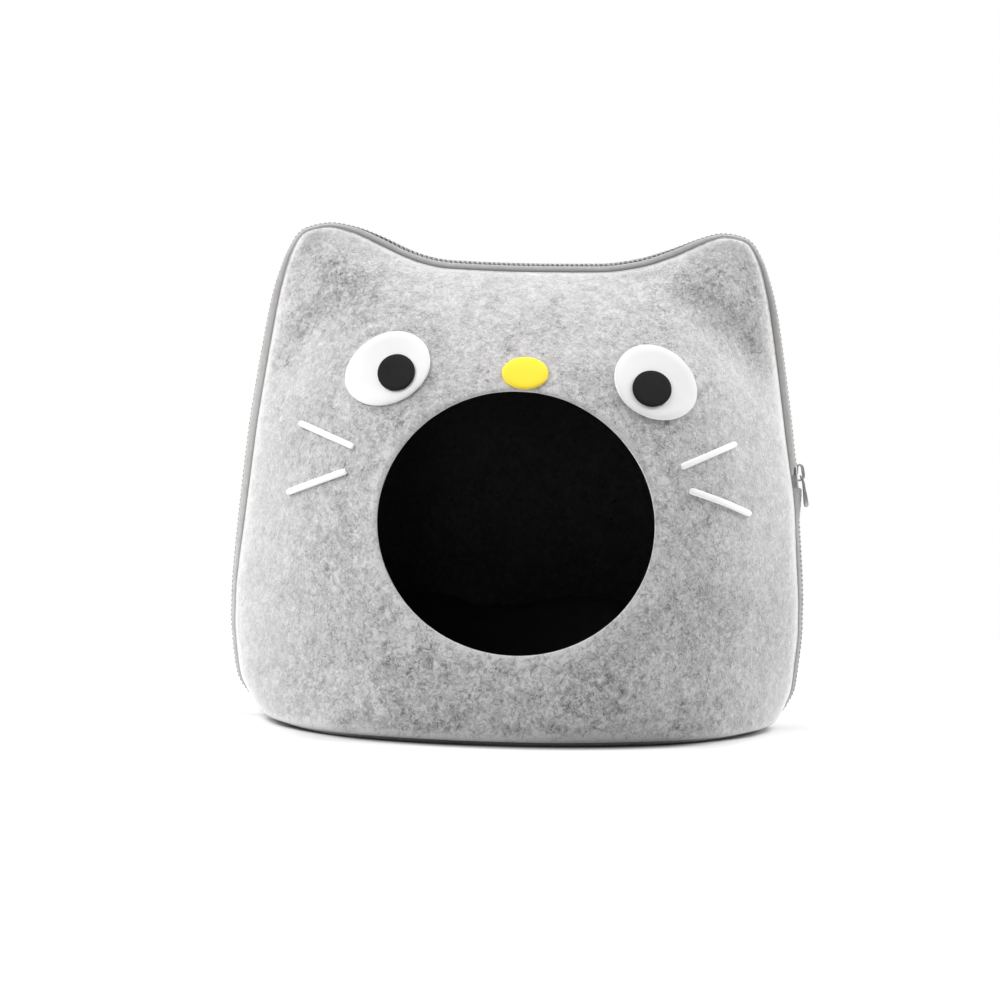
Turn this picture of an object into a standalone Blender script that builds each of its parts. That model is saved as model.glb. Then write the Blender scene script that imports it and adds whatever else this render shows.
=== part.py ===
"""Felt cat cave: two moulded felt shells that a zip joins around the middle.

Metres, +Z up. The zip lies in the plane y = 0, the entrance faces -Y, and the origin is on the
floor under the middle. Each shell is one thick sheet with its own half of the floor.
"""

import math

import bmesh
import bpy
import numpy as np

CM = 0.01
MM = 0.001

# Shells
HEIGHT = 34.75 * CM
DEPTH = 14.0 * CM  # from the zip to the deepest point of each shell
WIDEST_Z = 7.0 * CM  # height of the widest and deepest section
TUCK = 0.35 * CM  # how much less deep the wall is at the floor
FELT = 4.0 * MM
SEAM = 0.2 * MM  # half of the gap where the two floor halves meet
RIM_Y = 6.0 * MM  # distance of each felt edge from the zip's middle plane
RIM_ROLL = 4.5 * MM  # rounding of the felt towards the zip, in depth
RIM_ROLL_REACH = 5.0 * MM
FLOOR_ROLL = 5.5 * MM  # rounding of the front and back bottom edges
SIDE_POWER = 2.6  # how square a level section through a shell is
TOP_POWER = 3.1  # how square an upright section is
PLAN_POWER = 2.25  # the floor's outline is a superellipse with this power
PLAN_BLEND_Z = 5.0 * CM  # the section changes from the floor's kind to the wall's up to here
EAR_LEAN = 2.6 * MM  # the left ear's inner flank is this much higher than average, the right's lower
EAR_LEAN_X = 10.5 * CM
EAR_LEAN_WIDTH = 3.0 * CM

# Outer line of the zip's teeth on the right half, from the floor over the ear to the middle.
# The felt's edge lies inside this line by the reach.
# (x cm, z cm, reach mm)
CREST = [
    (16.60, 0.00, 0.0),
    (17.65, 0.30, 0.6),
    (18.35, 0.90, 1.8),
    (19.00, 1.71, 3.0),
    (19.68, 3.00, 3.8),
    (20.11, 6.00, 4.1),
    (20.15, 8.00, 4.2),
    (20.11, 10.00, 4.6),
    (19.80, 14.00, 5.8),
    (19.23, 20.00, 6.8),
    (18.68, 24.00, 6.8),
    (18.04, 28.00, 6.5),
    (17.64, 30.00, 6.0),
    (17.06, 32.00, 5.0),
    (16.63, 33.00, 4.4),
    (16.00, 34.00, 3.6),
    (15.20, 34.50, 3.2),
    (13.70, 34.75, 3.6),
    (12.00, 34.40, 5.2),
    (10.00, 33.67, 6.8),
    (8.00, 32.93, 7.2),
    (6.00, 32.48, 7.2),
    (4.00, 32.37, 7.2),
    (0.00, 32.31, 7.2),
]
SHOULDER_ROW = 16  # row of CREST where the ear's outer flank becomes its top
CREST_STEP = 2.2 * CM  # longest side of a facet along the crest
FLOOR_COLUMNS = 22
ROLL_ROWS = (1.2 * MM, 3.2 * MM, 12.0 * MM)  # distances of the first facet rows from a shell's edge
WALL_ROWS = (0.14, 0.34, 0.58, 0.8, 1.0)  # shares of the way from the last roll row to the entrance
FLOOR_ROWS = (0.35, 0.7, 1.0)  # shares of the way from the bottom edge to the seam

# Entrance, an ellipse as seen from the front, cut straight back
HOLE_X = -0.14 * CM
HOLE_Z = 14.47 * CM
HOLE_HALF_WIDTH = 9.15 * CM
HOLE_HALF_HEIGHT = 8.62 * CM

# Zip
TAPE = 1.0 * MM
TAPE_LIP = 0.6 * MM  # the tape's border beside the teeth lies this far inside their outer line
TAPE_BEND = 1.2 * MM  # least depth over which the tape turns from the teeth towards the felt
TAPE_FLANGE = 4.5 * MM  # part of the tape behind the felt's edge
ZIP_END_ROW = 1  # row of CREST at which the tapes and the chain end
CHAIN_HALF_WIDTH = 2.3 * MM
CHAIN_HEIGHT = 2.4 * MM
GAP = 0.3 * MM

# Slider and pull on the right side
SLIDER_Z = 17.65 * CM
SLIDER_LENGTH = 15.0 * MM
SLIDER_HALF_WIDTH = 4.8 * MM
SLIDER_SKIRT = 0.5 * MM  # how far its sides reach down beside the chain
SLIDER_TOP = 2.0 * MM  # its upper face above the crest
SLIDER_WALL = 0.9 * MM  # thickness of its sides, and the bevel above them
CROWN_LENGTH = 11.4 * MM
CROWN_TOP = 6.4 * MM  # above the crest
CROWN_WIRE = 1.6 * MM
CROWN_ROUND = 2.8 * MM  # rounding of its outer corners
CROWN_EYE_ROUND = 1.7 * MM  # rounding of its opening's corners
CROWN_SINK = 0.5 * MM  # part of it inside the slider's plate
CROWN_HALF_WIDTH = 1.1 * MM
CROWN_SHIFT = 3.2 * MM  # the crown's middle above the slider's middle
PULL_LENGTH = 20.0 * MM
PULL_THICK = 2.0 * MM
PULL_HALF_WIDTH = 3.4 * MM
PULL_SLOT_HALF_WIDTH = 1.6 * MM
PULL_BAR = 1.6 * MM  # the pull's cross-bar inside the crown
PULL_SLOT_LENGTH = 5.2 * MM
PULL_TOP = (1.6 * MM, 3.3 * MM)  # top of the pull: above the slider's middle, out from the crest
PULL_TILT = math.radians(8.5)
PULL_CORNER = 1.4 * MM  # bevel of its corners

# Pieces on the front. Positions and sizes are as seen from the front.
PATCH_LIFT = 0.4 * MM  # gap between a piece and what it lies on
PATCH_THICK = 2.0 * MM
# name: (x cm, z cm, half length cm, half width cm, egg taper, turn degrees)
EYES = {
    "eye_left": (-8.95, 24.34, 2.98, 2.29, 0.051, 28.9),
    "eye_right": (8.97, 23.86, 2.89, 2.25, -0.065, -28.4),
}
PUPILS = {
    "pupil_left": (-8.27, 23.96, 1.23, 1.20, 0.0, 0.0),
    "pupil_right": (8.57, 23.28, 1.26, 1.20, 0.0, 0.0),
}
NOSE = (0.25, 24.22, 1.53, 1.06, 0.0, 0.0)
# (inner x cm, inner z cm, outer x cm, outer z cm)
WHISKERS = [
    (-11.01, 19.13, -14.92, 20.65),
    (-11.44, 17.51, -15.69, 15.91),
    (10.70, 18.30, 14.50, 19.92),
    (11.29, 16.76, 15.64, 15.19),
]
WHISKER_HALF_WIDTH = 2.1 * MM

# Mat
MAT_CLEAR = 5.5 * MM  # from the walls
MAT_LIFT = 0.5 * MM  # above the floor
MAT_MIDDLE = 2.6 * CM  # height of its upper face in the middle
MAT_EDGE_BACK = 7.4 * CM
MAT_EDGE_FRONT = 4.6 * CM
MAT_ROUND = 0.8 * CM  # rounding of its upper edge
MAT_WALL = 1.9 * CM  # thickness of its raised edge
MAT_SLOPE = 4.0 * CM  # from its outer side to the foot of the raised edge's inner slope
MAT_SLOPE_RISE = 0.35  # height of that foot, as a share of the edge's height above the middle
MAT_LEVEL = 0.45  # share of the radius over which its middle is nearly level
MAT_LEVEL_RISE = 0.04
MAT_UNDER_ROUND = 0.4 * CM  # rounding of its lower edge
MAT_UNDER_RING = 0.55  # share of the radius for the underside's ring of points
MAT_COLUMNS = 36
MAT_SIDE_ROWS = (0.18, 0.45, 0.75)  # shares of the raised edge's height, up its outer side

FRONT, BACK = -1, 1


def catmull_rom(rows, place):
    """The point at a fractional row of a table, on a smooth curve through its rows."""
    last = len(rows) - 1
    index = min(int(place), last - 1)
    t = place - index
    before = rows[max(index - 1, 0)]
    # The curve's other half is its mirror image, so it is level in the middle.
    after = rows[index + 2] if index + 2 <= last else rows[last - 1] * (-1, 1, 1)
    here, there = rows[index], rows[index + 1]
    return 0.5 * (
        2 * here
        + (there - before) * t
        + (2 * before - 5 * here + 4 * there - after) * t**2
        + (3 * here - before - 3 * there + after) * t**3
    )


def crest_at(place, side):
    """Crest point (x, z), inward direction and reach at a fractional row of CREST."""
    rows = np.array(CREST) * (CM, CM, MM)

    def leaning(at):
        x, z, reach = catmull_rom(rows, at)
        bump = math.exp(-(((x - EAR_LEAN_X) / EAR_LEAN_WIDTH) ** 2))
        z -= side * EAR_LEAN * bump * z / HEIGHT
        return np.array([side * x, z]), reach

    point, reach = leaning(place)
    step = 0.02
    start, end = max(place - step, 0), min(place + step, len(rows) - 1)
    along = leaning(end)[0] - leaning(start)[0]
    along /= np.linalg.norm(along)
    inward = np.array([-along[1], along[0]]) * side
    if place >= len(rows) - 1:
        inward = np.array([0.0, -1.0])
    return point, inward, max(reach, 0.0)


def crest_places(step):
    """Fractional rows of CREST that are at most a step apart along the crest."""
    places = []
    for row in range(len(CREST) - 1):
        length = math.dist(CREST[row][:2], CREST[row + 1][:2]) * CM
        count = max(1, math.ceil(length / step - 0.2))
        places += [row + i / count for i in range(count)]
    return places + [len(CREST) - 1]


def felt_edge(place, side):
    """Felt edge (x, z) and inward direction at a fractional row of CREST."""
    point, inward, reach = crest_at(place, side)
    edge = point + inward * reach
    edge[1] = max(edge[1], 0.0)
    return edge, inward


class Outline:
    """The felt's edge as seen from the front, as half widths and heights of the top."""

    def __init__(self, side):
        places = crest_places(2 * MM)
        points = np.array([felt_edge(p, side)[0] for p in places])
        points[:, 0] = np.abs(points[:, 0])
        shoulder = places.index(SHOULDER_ROW)
        self.flank = points[: shoulder + 1]
        self.top = points[shoulder:][::-1]

    def half_width(self, z):
        return np.interp(z, self.flank[:, 1], self.flank[:, 0])

    def top_height(self, x):
        return np.interp(abs(x), self.top[:, 0], self.top[:, 1])


OUTLINES = {side: Outline(side) for side in (-1, 1)}


def wall_depth(x, z):
    """How far a shell's outer face is from the zip's plane, before its edges are rounded."""
    outline = OUTLINES[-1 if x < 0 else 1]
    across = min(abs(x) / outline.half_width(z), 1.0)
    up = (z - WIDEST_Z) / (outline.top_height(x) - WIDEST_Z)
    up = min(max(up, 0.0), 1.0)
    low = max(1 - z / PLAN_BLEND_Z, 0.0) ** 2
    power = SIDE_POWER + (PLAN_POWER - SIDE_POWER) * low
    root = 1 / (1 + (PLAN_POWER - 1) * low)
    middle = DEPTH - TUCK * max(1 - z / WIDEST_Z, 0.0) ** 2
    edge = RIM_Y + RIM_ROLL
    return edge + (middle - edge) * (1 - across**power) ** root * (1 - up**TOP_POWER)


def rolled(depth, distance, roll, reach):
    """The depth at a distance from a rounded edge."""
    share = 1 - min(distance / reach, 1.0)
    return depth - roll * (1 - math.sqrt(1 - share**2))


def shell_columns():
    """Edge points of a shell as (x, z, inward x, inward z, roll, reach), once around."""
    places = crest_places(CREST_STEP)
    columns = []
    for side, order in ((1, places), (-1, places[-2::-1])):
        for place in order:
            (x, z), inward = felt_edge(place, side)
            if place == 0:
                inward = (0.0, 1.0)
            columns.append((x, z, *inward, RIM_ROLL, RIM_ROLL_REACH))
    corner = columns[0][0]
    for i in range(1, FLOOR_COLUMNS):
        x = -corner * math.cos(math.pi * i / FLOOR_COLUMNS)
        middle = 1 - (x / corner) ** 4
        roll = RIM_ROLL + (FLOOR_ROLL - RIM_ROLL) * middle
        reach = RIM_ROLL_REACH + (FLOOR_ROLL - RIM_ROLL_REACH) * middle
        columns.append((x, 0.0, 0.0, 1.0, roll, reach))
    return columns


def wall_point(x, z, facing):
    return (x, facing * wall_depth(x, z), z)


def shell_column(column, facing, has_entrance):
    """Points of one column of a shell's outer face, from its edge inwards."""
    x, z, inward_x, inward_z, roll, reach = column
    # The sheet leaves its edge square to it, so that the felt's cut end is flat.
    depth = wall_depth(x, z)
    points = [(x, facing * (depth - drop), z) for drop in (roll, 0.5 * roll)]
    for distance in ROLL_ROWS:
        px, pz = x + inward_x * distance, z + inward_z * distance
        points.append((px, facing * rolled(wall_depth(px, pz), distance, roll, reach), pz))
    start_x, start_z = px, pz
    angle = math.atan2(z - HOLE_Z, x)
    end_x, end_z = 0.0, HOLE_Z
    if has_entrance:
        end_x = HOLE_X + HOLE_HALF_WIDTH * math.cos(angle)
        end_z += HOLE_HALF_HEIGHT * math.sin(angle)
    shares = WALL_ROWS if has_entrance else WALL_ROWS[:-1]
    for share in shares:
        px = start_x + (end_x - start_x) * share
        pz = start_z + (end_z - start_z) * share
        points.append(wall_point(px, pz, facing))
    return points


def thicken(sheet, cut):
    """Give a sheet the felt's thickness. The cut's vertices go straight back, the others inwards."""
    sheet.normal_update()
    borders = [edge for edge in sheet.edges if edge.is_boundary]
    faces = list(sheet.faces)
    inner = {}
    for vert in list(sheet.verts):
        place = vert.co - vert.normal * FELT
        if vert in cut:
            place = (vert.co.x, vert.co.y - FELT / vert.normal.y, vert.co.z)
        inner[vert] = sheet.verts.new(place)
    for face in faces:
        sheet.faces.new([inner[vert] for vert in reversed(face.verts)])
    for edge in borders:
        loop = edge.link_loops[0]
        here, there = loop.vert, loop.link_loop_next.vert
        sheet.faces.new((there, here, inner[here], inner[there]))


def felt_shell(name, facing, has_entrance, material):
    """One moulded shell: a sheet from the entrance or the middle to the zip and over the floor."""
    columns = shell_columns()
    count = len(columns)
    rim_count = count - (FLOOR_COLUMNS - 1)
    mesh = bmesh.new()
    grid = [[mesh.verts.new(p) for p in shell_column(c, facing, has_entrance)] for c in columns]
    for i in range(count):
        here, there = grid[i], grid[(i + 1) % count]
        for row in range(len(here) - 1):
            mesh.faces.new((here[row], there[row], there[row + 1], here[row + 1]))
    if not has_entrance:
        middle = mesh.verts.new(wall_point(0.0, HOLE_Z, facing))
        for i in range(count):
            mesh.faces.new((grid[i][-1], grid[(i + 1) % count][-1], middle))
    floor = [i % count for i in range(rim_count - 1, count + 1)]
    strips = []
    for i in floor:
        edge = grid[i][0].co
        seam_y = facing * SEAM
        strip = [grid[i][0]]
        for share in FLOOR_ROWS:
            strip.append(mesh.verts.new((edge.x, edge.y + (seam_y - edge.y) * share, 0.0)))
        strips.append(strip)
    for here, there in zip(strips, strips[1:]):
        for row in range(len(here) - 1):
            mesh.faces.new((here[row], here[row + 1], there[row + 1], there[row]))
    if facing == BACK:
        bmesh.ops.reverse_faces(mesh, faces=mesh.faces)
    thicken(mesh, {column[-1] for column in grid} if has_entrance else set())
    new_object(name, mesh, material)


def ribbon(name, section, material):
    """A bar along the crest. section gives its outline as (inset, y) for a reach."""
    end = len(CREST) - 1
    places = [p for p in crest_places(CREST_STEP) if p >= ZIP_END_ROW]
    stations = [(p, 1) for p in places] + [(p, -1) for p in places[::-1] if p < end]
    mesh = bmesh.new()
    rings = []
    for place, side in stations:
        point, inward, reach = crest_at(place, side)
        ring = []
        for inset, y in section(reach):
            x, z = point + inward * inset
            ring.append(mesh.verts.new((x, y, max(z, GAP))))
        rings.append(ring)
    for here, there in zip(rings, rings[1:]):
        for i in range(len(here)):
            j = (i + 1) % len(here)
            mesh.faces.new((here[i], here[j], there[j], there[i]))
    mesh.faces.new(rings[0][::-1])
    mesh.faces.new(rings[-1])
    bmesh.ops.recalc_face_normals(mesh, faces=mesh.faces)
    return new_object(name, mesh, material)


def tape_section(facing):
    """Section of one zip tape: from beside the chain, over a soft bend, to behind the felt."""
    near = CHAIN_HALF_WIDTH + GAP
    behind = RIM_Y - GAP

    def section(reach):
        bend = max(0.5 * reach, TAPE_BEND)
        outer = max(reach, bend + TAPE)
        flange = outer + TAPE_FLANGE
        face = [(TAPE_LIP, near), (bend, behind - TAPE), (outer, behind), (flange, behind)]
        inner = [
            (flange, behind - TAPE),
            (outer + 0.5 * TAPE, behind - TAPE),
            (bend + TAPE, behind - 1.9 * TAPE),
            (TAPE_LIP + 1.1 * TAPE, near),
        ]
        return [(inset, facing * y) for inset, y in face + inner]

    return section


def chain_section(reach):
    """Section of the closed chain of teeth."""
    wide, top = CHAIN_HALF_WIDTH, CHAIN_HEIGHT
    crown = 0.6 * wide
    half = [(0.0, crown), (0.25 * top, wide), (0.75 * top, wide), (top, crown)]
    return half + [(inset, -y) for inset, y in half[::-1]]


def slider_frame():
    """Crest point, outward direction and upward direction at the slider, in x and z."""
    places = np.linspace(1, SHOULDER_ROW, 2000)
    best = min(places, key=lambda p: abs(crest_at(p, 1)[0][1] - SLIDER_Z))
    point, inward, _ = crest_at(best, 1)
    outward = -inward
    upward = np.array([-outward[1], outward[0]])
    return point, outward, upward


def placed(points):
    """Points (up, out, y) at the slider, as (x, y, z)."""
    origin, outward, upward = slider_frame()
    result = []
    for up, out, y in points:
        x, z = origin + outward * out + upward * up
        result.append((x, y, z))
    return result


def prism(mesh, outline, low, high, hole=None):
    """A closed plate: an outline of (up, out) between two values of y, with one opening."""
    loops = [outline] + ([hole] if hole else [])
    sides = []
    for loop in loops:
        lower = [mesh.verts.new(p) for p in placed([(u, o, low) for u, o in loop])]
        upper = [mesh.verts.new(p) for p in placed([(u, o, high) for u, o in loop])]
        sides.append((lower, upper))
        for i in range(len(loop)):
            j = (i + 1) % len(loop)
            mesh.faces.new((lower[i], lower[j], upper[j], upper[i]))
    for which in (0, 1):
        if not hole:
            mesh.faces.new(sides[0][which])
            continue
        outer, inner = sides[0][which], sides[1][which]
        for i in range(len(outer)):
            j = (i + 1) % len(outer)
            mesh.faces.new((outer[i], outer[j], inner[j], inner[i]))
    bmesh.ops.recalc_face_normals(mesh, faces=mesh.faces)


def zip_slider(material):
    """The slider: a plate that hugs the chain, with a round-ended crown on top."""
    half = SLIDER_LENGTH / 2
    body = bmesh.new()
    wide, slim = SLIDER_HALF_WIDTH, SLIDER_HALF_WIDTH - SLIDER_WALL
    section = [
        (-SLIDER_SKIRT, wide),
        (SLIDER_TOP - SLIDER_WALL, wide),
        (SLIDER_TOP, slim),
        (SLIDER_TOP, -slim),
        (SLIDER_TOP - SLIDER_WALL, -wide),
        (-SLIDER_SKIRT, -wide),
        (-SLIDER_SKIRT, -slim),
        (GAP, -CHAIN_HALF_WIDTH),
        (GAP, CHAIN_HALF_WIDTH),
        (-SLIDER_SKIRT, slim),
    ]
    # (up from the middle as a share of half the length, width as a share)
    stations = [(-1.0, 0.94), (-0.75, 1.0), (0.2, 1.0), (1.0, 0.86)]
    rings = []
    for share, narrow in stations:
        ring = [(share * half, out, y * narrow) for out, y in section]
        rings.append([body.verts.new(p) for p in placed(ring)])
    for here, there in zip(rings, rings[1:]):
        for i in range(len(here)):
            j = (i + 1) % len(here)
            body.faces.new((here[i], here[j], there[j], there[i]))
    body.faces.new(rings[0])
    body.faces.new(rings[-1])
    bmesh.ops.recalc_face_normals(body, faces=body.faces)
    slider = new_object("zip_slider", body, material)

    crown = bmesh.new()
    outer = rounded_bar(CROWN_LENGTH, SLIDER_TOP - CROWN_SINK, CROWN_TOP, CROWN_ROUND)
    eye_length = CROWN_LENGTH - 2 * CROWN_WIRE
    inner = rounded_bar(eye_length, SLIDER_TOP + GAP, CROWN_TOP - CROWN_WIRE, CROWN_EYE_ROUND)
    prism(crown, outer, -CROWN_HALF_WIDTH, CROWN_HALF_WIDTH, inner)
    cutter = new_object("crown_form", crown, material)
    cutter.hide_render = True
    cutter.display_type = "WIRE"
    join = slider.modifiers.new("crown", "BOOLEAN")
    join.operation = "UNION"
    join.solver = "EXACT"
    join.object = cutter


def rounded_bar(length, low, high, radius):
    """Outline (up, out) of the crown's side view: a bar whose outer corners are round."""
    half = length / 2
    points = [(CROWN_SHIFT - half, low)]
    for centre, start in ((-half + radius, 180), (half - radius, 90)):
        for step in range(4):
            angle = math.radians(start - 30 * step)
            up = CROWN_SHIFT + centre + radius * math.cos(angle)
            points.append((up, high - radius + radius * math.sin(angle)))
    points.append((CROWN_SHIFT + half, low))
    return points


def zip_pull(material):
    """The pull: a tab with a slot whose cross-bar goes through the crown."""
    top_up, top_out = PULL_TOP
    tab = bmesh.new()
    wide, slot = PULL_HALF_WIDTH, PULL_SLOT_HALF_WIDTH
    slot_end = PULL_BAR + PULL_SLOT_LENGTH
    # (distance down the tab, half width)
    outer = [(0.0, wide - PULL_CORNER), (PULL_CORNER, wide), (slot_end, wide)]
    outer += [(PULL_LENGTH - PULL_CORNER, wide), (PULL_LENGTH, wide - PULL_CORNER)]
    inner = [(PULL_BAR, slot), (slot_end / 2, slot), (slot_end, slot)]
    outline = outer + [(down, -y) for down, y in outer[::-1]]
    opening = inner + [(down, -y) for down, y in inner[::-1]]
    layers = []
    for out in (-PULL_THICK / 2, PULL_THICK / 2):
        layer = []
        for loop in (outline, opening):
            points = []
            for down, y in loop:
                up = top_up - down * math.cos(PULL_TILT) + out * math.sin(PULL_TILT)
                away = top_out + down * math.sin(PULL_TILT) + out * math.cos(PULL_TILT)
                points.append((up, away, y))
            layer.append([tab.verts.new(p) for p in placed(points)])
        layers.append(layer)
    for which in (0, 1):
        low, high = layers[0][which], layers[1][which]
        for i in range(len(low)):
            j = (i + 1) % len(low)
            tab.faces.new((low[i], low[j], high[j], high[i]))
    for rim, hole in layers:
        # The slot's right and left sides, its two ends, and the plain tab below it
        tab.faces.new((rim[0], rim[1], rim[2], hole[2], hole[1], hole[0]))
        tab.faces.new((rim[9], hole[5], hole[4], hole[3], rim[7], rim[8]))
        tab.faces.new((rim[0], hole[0], hole[5], rim[9]))
        tab.faces.new((rim[2], rim[3], rim[4], rim[5], rim[6], rim[7], hole[3], hole[2]))
    bmesh.ops.recalc_face_normals(tab, faces=tab.faces)
    new_object("zip_pull", tab, material)


def outward_normal(x, z):
    """Outward direction of the front wall's outer face."""
    step = 1.0 * MM
    slope_x = (wall_depth(x + step, z) - wall_depth(x - step, z)) / (2 * step)
    slope_z = (wall_depth(x, z + step) - wall_depth(x, z - step)) / (2 * step)
    normal = np.array([-slope_x, -1.0, -slope_z])
    return normal / np.linalg.norm(normal)


def on_front(x, z, lift):
    """A point at a distance off the front wall."""
    return np.array([x, -wall_depth(x, z), z]) + outward_normal(x, z) * lift


def front_patch(name, rings, lift, material, closed=True):
    """A thin piece that follows the front wall. rings are lists of (x, z), the outermost first."""
    mesh = bmesh.new()
    layers = []
    for height in (lift, lift + PATCH_THICK):
        layers.append([[mesh.verts.new(on_front(x, z, height)) for x, z in r] for r in rings])
    for layer in layers:
        for outer, inner in zip(layer, layer[1:]):
            for i in range(len(outer) if closed else len(outer) - 1):
                j = (i + 1) % len(outer)
                mesh.faces.new((outer[i], outer[j], inner[j], inner[i]))
        if closed:
            mesh.faces.new(layer[-1])
    lower, upper = layers
    if closed:
        border_low, border_high = lower[0], upper[0]
    else:
        border_low = border_of(lower)
        border_high = border_of(upper)
    for i in range(len(border_low)):
        j = (i + 1) % len(border_low)
        mesh.faces.new((border_low[i], border_low[j], border_high[j], border_high[i]))
    bmesh.ops.recalc_face_normals(mesh, faces=mesh.faces)
    bmesh.ops.triangulate(mesh, faces=[f for f in mesh.faces if len(f.verts) > 4])
    new_object(name, mesh, material)


def border_of(rows):
    """The border of a grid of vertices, once around."""
    return (
        rows[0]
        + [row[-1] for row in rows[1:-1]]
        + rows[-1][::-1]
        + [row[0] for row in rows[-2:0:-1]]
    )


def egg_rings(row, points, shares):
    """Rings of an egg outline, each a share of its size."""
    x, z, length, width, taper, turn = row
    turn = math.radians(turn)
    rings = []
    for share in shares:
        ring = []
        for i in range(points):
            angle = 2 * math.pi * i / points
            along = length * share * math.cos(angle)
            across = width * share * math.sin(angle) * (1 + taper * math.cos(angle))
            px = x + along * math.cos(turn) - across * math.sin(turn)
            pz = z + along * math.sin(turn) + across * math.cos(turn)
            ring.append((px * CM, pz * CM))
        rings.append(ring)
    return rings


def whisker_rows(row, steps=5):
    """Grid rows (x, z) of a straight strip between its two ends."""
    x0, z0, x1, z1 = (value * CM for value in row)
    length = math.dist((x0, z0), (x1, z1))
    side_x, side_z = (z0 - z1) / length, (x1 - x0) / length
    rows = []
    for offset in (-WHISKER_HALF_WIDTH, WHISKER_HALF_WIDTH):
        line = []
        for i in range(steps + 1):
            share = i / steps
            px = x0 + (x1 - x0) * share + side_x * offset
            pz = z0 + (z1 - z0) * share + side_z * offset
            line.append((px, pz))
        rows.append(line)
    return rows


def room(angle, z):
    """Distance from the upright axis, in a direction of the plan, that keeps clear of the felt."""
    across, deep = math.cos(angle), abs(math.sin(angle))
    low, high = 0.0, OUTLINES[1].half_width(z) - FELT - MAT_CLEAR
    for _ in range(30):
        reach = (low + high) / 2
        x = reach * across
        behind_face = (wall_depth(x, z) - reach * deep) * abs(outward_normal(x, z)[1])
        if behind_face > FELT + MAT_CLEAR:
            low = reach
        else:
            high = reach
    return low


def mat(material):
    """The mat: a soft pad with a raised edge that rides up the walls."""
    mesh = bmesh.new()
    base = FELT + MAT_LIFT
    columns = []
    for i in range(MAT_COLUMNS):
        angle = 2 * math.pi * i / MAT_COLUMNS
        back = (1 + math.sin(angle)) / 2
        top = MAT_EDGE_FRONT + (MAT_EDGE_BACK - MAT_EDGE_FRONT) * back
        foot = room(angle, base)
        points = [(MAT_UNDER_RING * foot, base), (foot - MAT_UNDER_ROUND, base)]
        for share in MAT_SIDE_ROWS:
            z = base + (top - base) * share
            points.append((room(angle, z), z))
        outer = room(angle, top)
        points.append((outer - 0.35 * MAT_ROUND, top - 0.35 * MAT_ROUND))
        points.append((outer - MAT_ROUND, top))
        points.append((outer - MAT_WALL, top - 0.6 * MAT_ROUND))
        rise = top - MAT_MIDDLE
        points.append((outer - MAT_SLOPE, MAT_MIDDLE + MAT_SLOPE_RISE * rise))
        points.append((MAT_LEVEL * outer, MAT_MIDDLE + MAT_LEVEL_RISE * rise))
        column = []
        for reach, z in points:
            place = (reach * math.cos(angle), reach * math.sin(angle), z)
            column.append(mesh.verts.new(place))
        columns.append(column)
    under = mesh.verts.new((0.0, 0.0, base))
    over = mesh.verts.new((0.0, 0.0, MAT_MIDDLE))
    for i in range(MAT_COLUMNS):
        here, there = columns[i], columns[(i + 1) % MAT_COLUMNS]
        mesh.faces.new((under, here[0], there[0]))
        for row in range(len(here) - 1):
            mesh.faces.new((here[row], here[row + 1], there[row + 1], there[row]))
        mesh.faces.new((here[-1], over, there[-1]))
    bmesh.ops.recalc_face_normals(mesh, faces=mesh.faces)
    new_object("mat", mesh, material)


def new_object(name, mesh, material):
    data = bpy.data.meshes.new(name)
    mesh.to_mesh(data)
    mesh.free()
    data.shade_smooth()
    data.set_sharp_from_angle(angle=math.radians(40))
    data.materials.append(material)
    item = bpy.data.objects.new(name, data)
    bpy.context.scene.collection.objects.link(item)
    return item


def surface(name, colour, roughness, metallic=0.0):
    material = bpy.data.materials.new(name)
    material.use_nodes = True
    shader = material.node_tree.nodes["Principled BSDF"]
    shader.inputs["Base Color"].default_value = (*colour, 1.0)
    shader.inputs["Roughness"].default_value = roughness
    shader.inputs["Metallic"].default_value = metallic
    return material


def main():
    for item in list(bpy.data.objects):
        bpy.data.objects.remove(item)

    felt_shell("felt_front", FRONT, True, surface("front felt", (0.58, 0.57, 0.58), 0.95))
    felt_shell("felt_back", BACK, False, surface("back felt", (0.56, 0.55, 0.56), 0.95))

    for name, facing in (("zip_tape_front", FRONT), ("zip_tape_back", BACK)):
        ribbon(name, tape_section(facing), surface(name, (0.48, 0.47, 0.45), 0.75))
    ribbon("zip_chain", chain_section, surface("zip chain", (0.22, 0.22, 0.22), 0.5))
    zip_slider(surface("slider metal", (0.5, 0.5, 0.5), 0.35, 1.0))
    zip_pull(surface("pull metal", (0.52, 0.52, 0.52), 0.35, 1.0))

    for name, row in EYES.items():
        white = surface(name, (0.93, 0.93, 0.93), 0.8)
        front_patch(name, egg_rings(row, 28, (1.0, 0.66, 0.33)), PATCH_LIFT, white)
    on_eye = 2 * PATCH_LIFT + PATCH_THICK
    for name, row in PUPILS.items():
        black = surface(name, (0.03, 0.03, 0.03), 0.75)
        front_patch(name, egg_rings(row, 20, (1.0, 0.5)), on_eye, black)
    yellow = surface("nose", (0.98, 0.84, 0.07), 0.75)
    front_patch("nose", egg_rings(NOSE, 20, (1.0, 0.5)), PATCH_LIFT, yellow)
    for i, row in enumerate(WHISKERS, 1):
        white = surface(f"whisker {i}", (0.93, 0.93, 0.93), 0.8)
        front_patch(f"whisker_{i}", whisker_rows(row), PATCH_LIFT, white, closed=False)

    mat(surface("mat", (0.012, 0.012, 0.013), 0.95))


if __name__ == "__main__":
    main()
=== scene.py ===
import math

import bmesh
import bpy
import numpy as np
from mathutils import Matrix, Vector, noise


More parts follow.
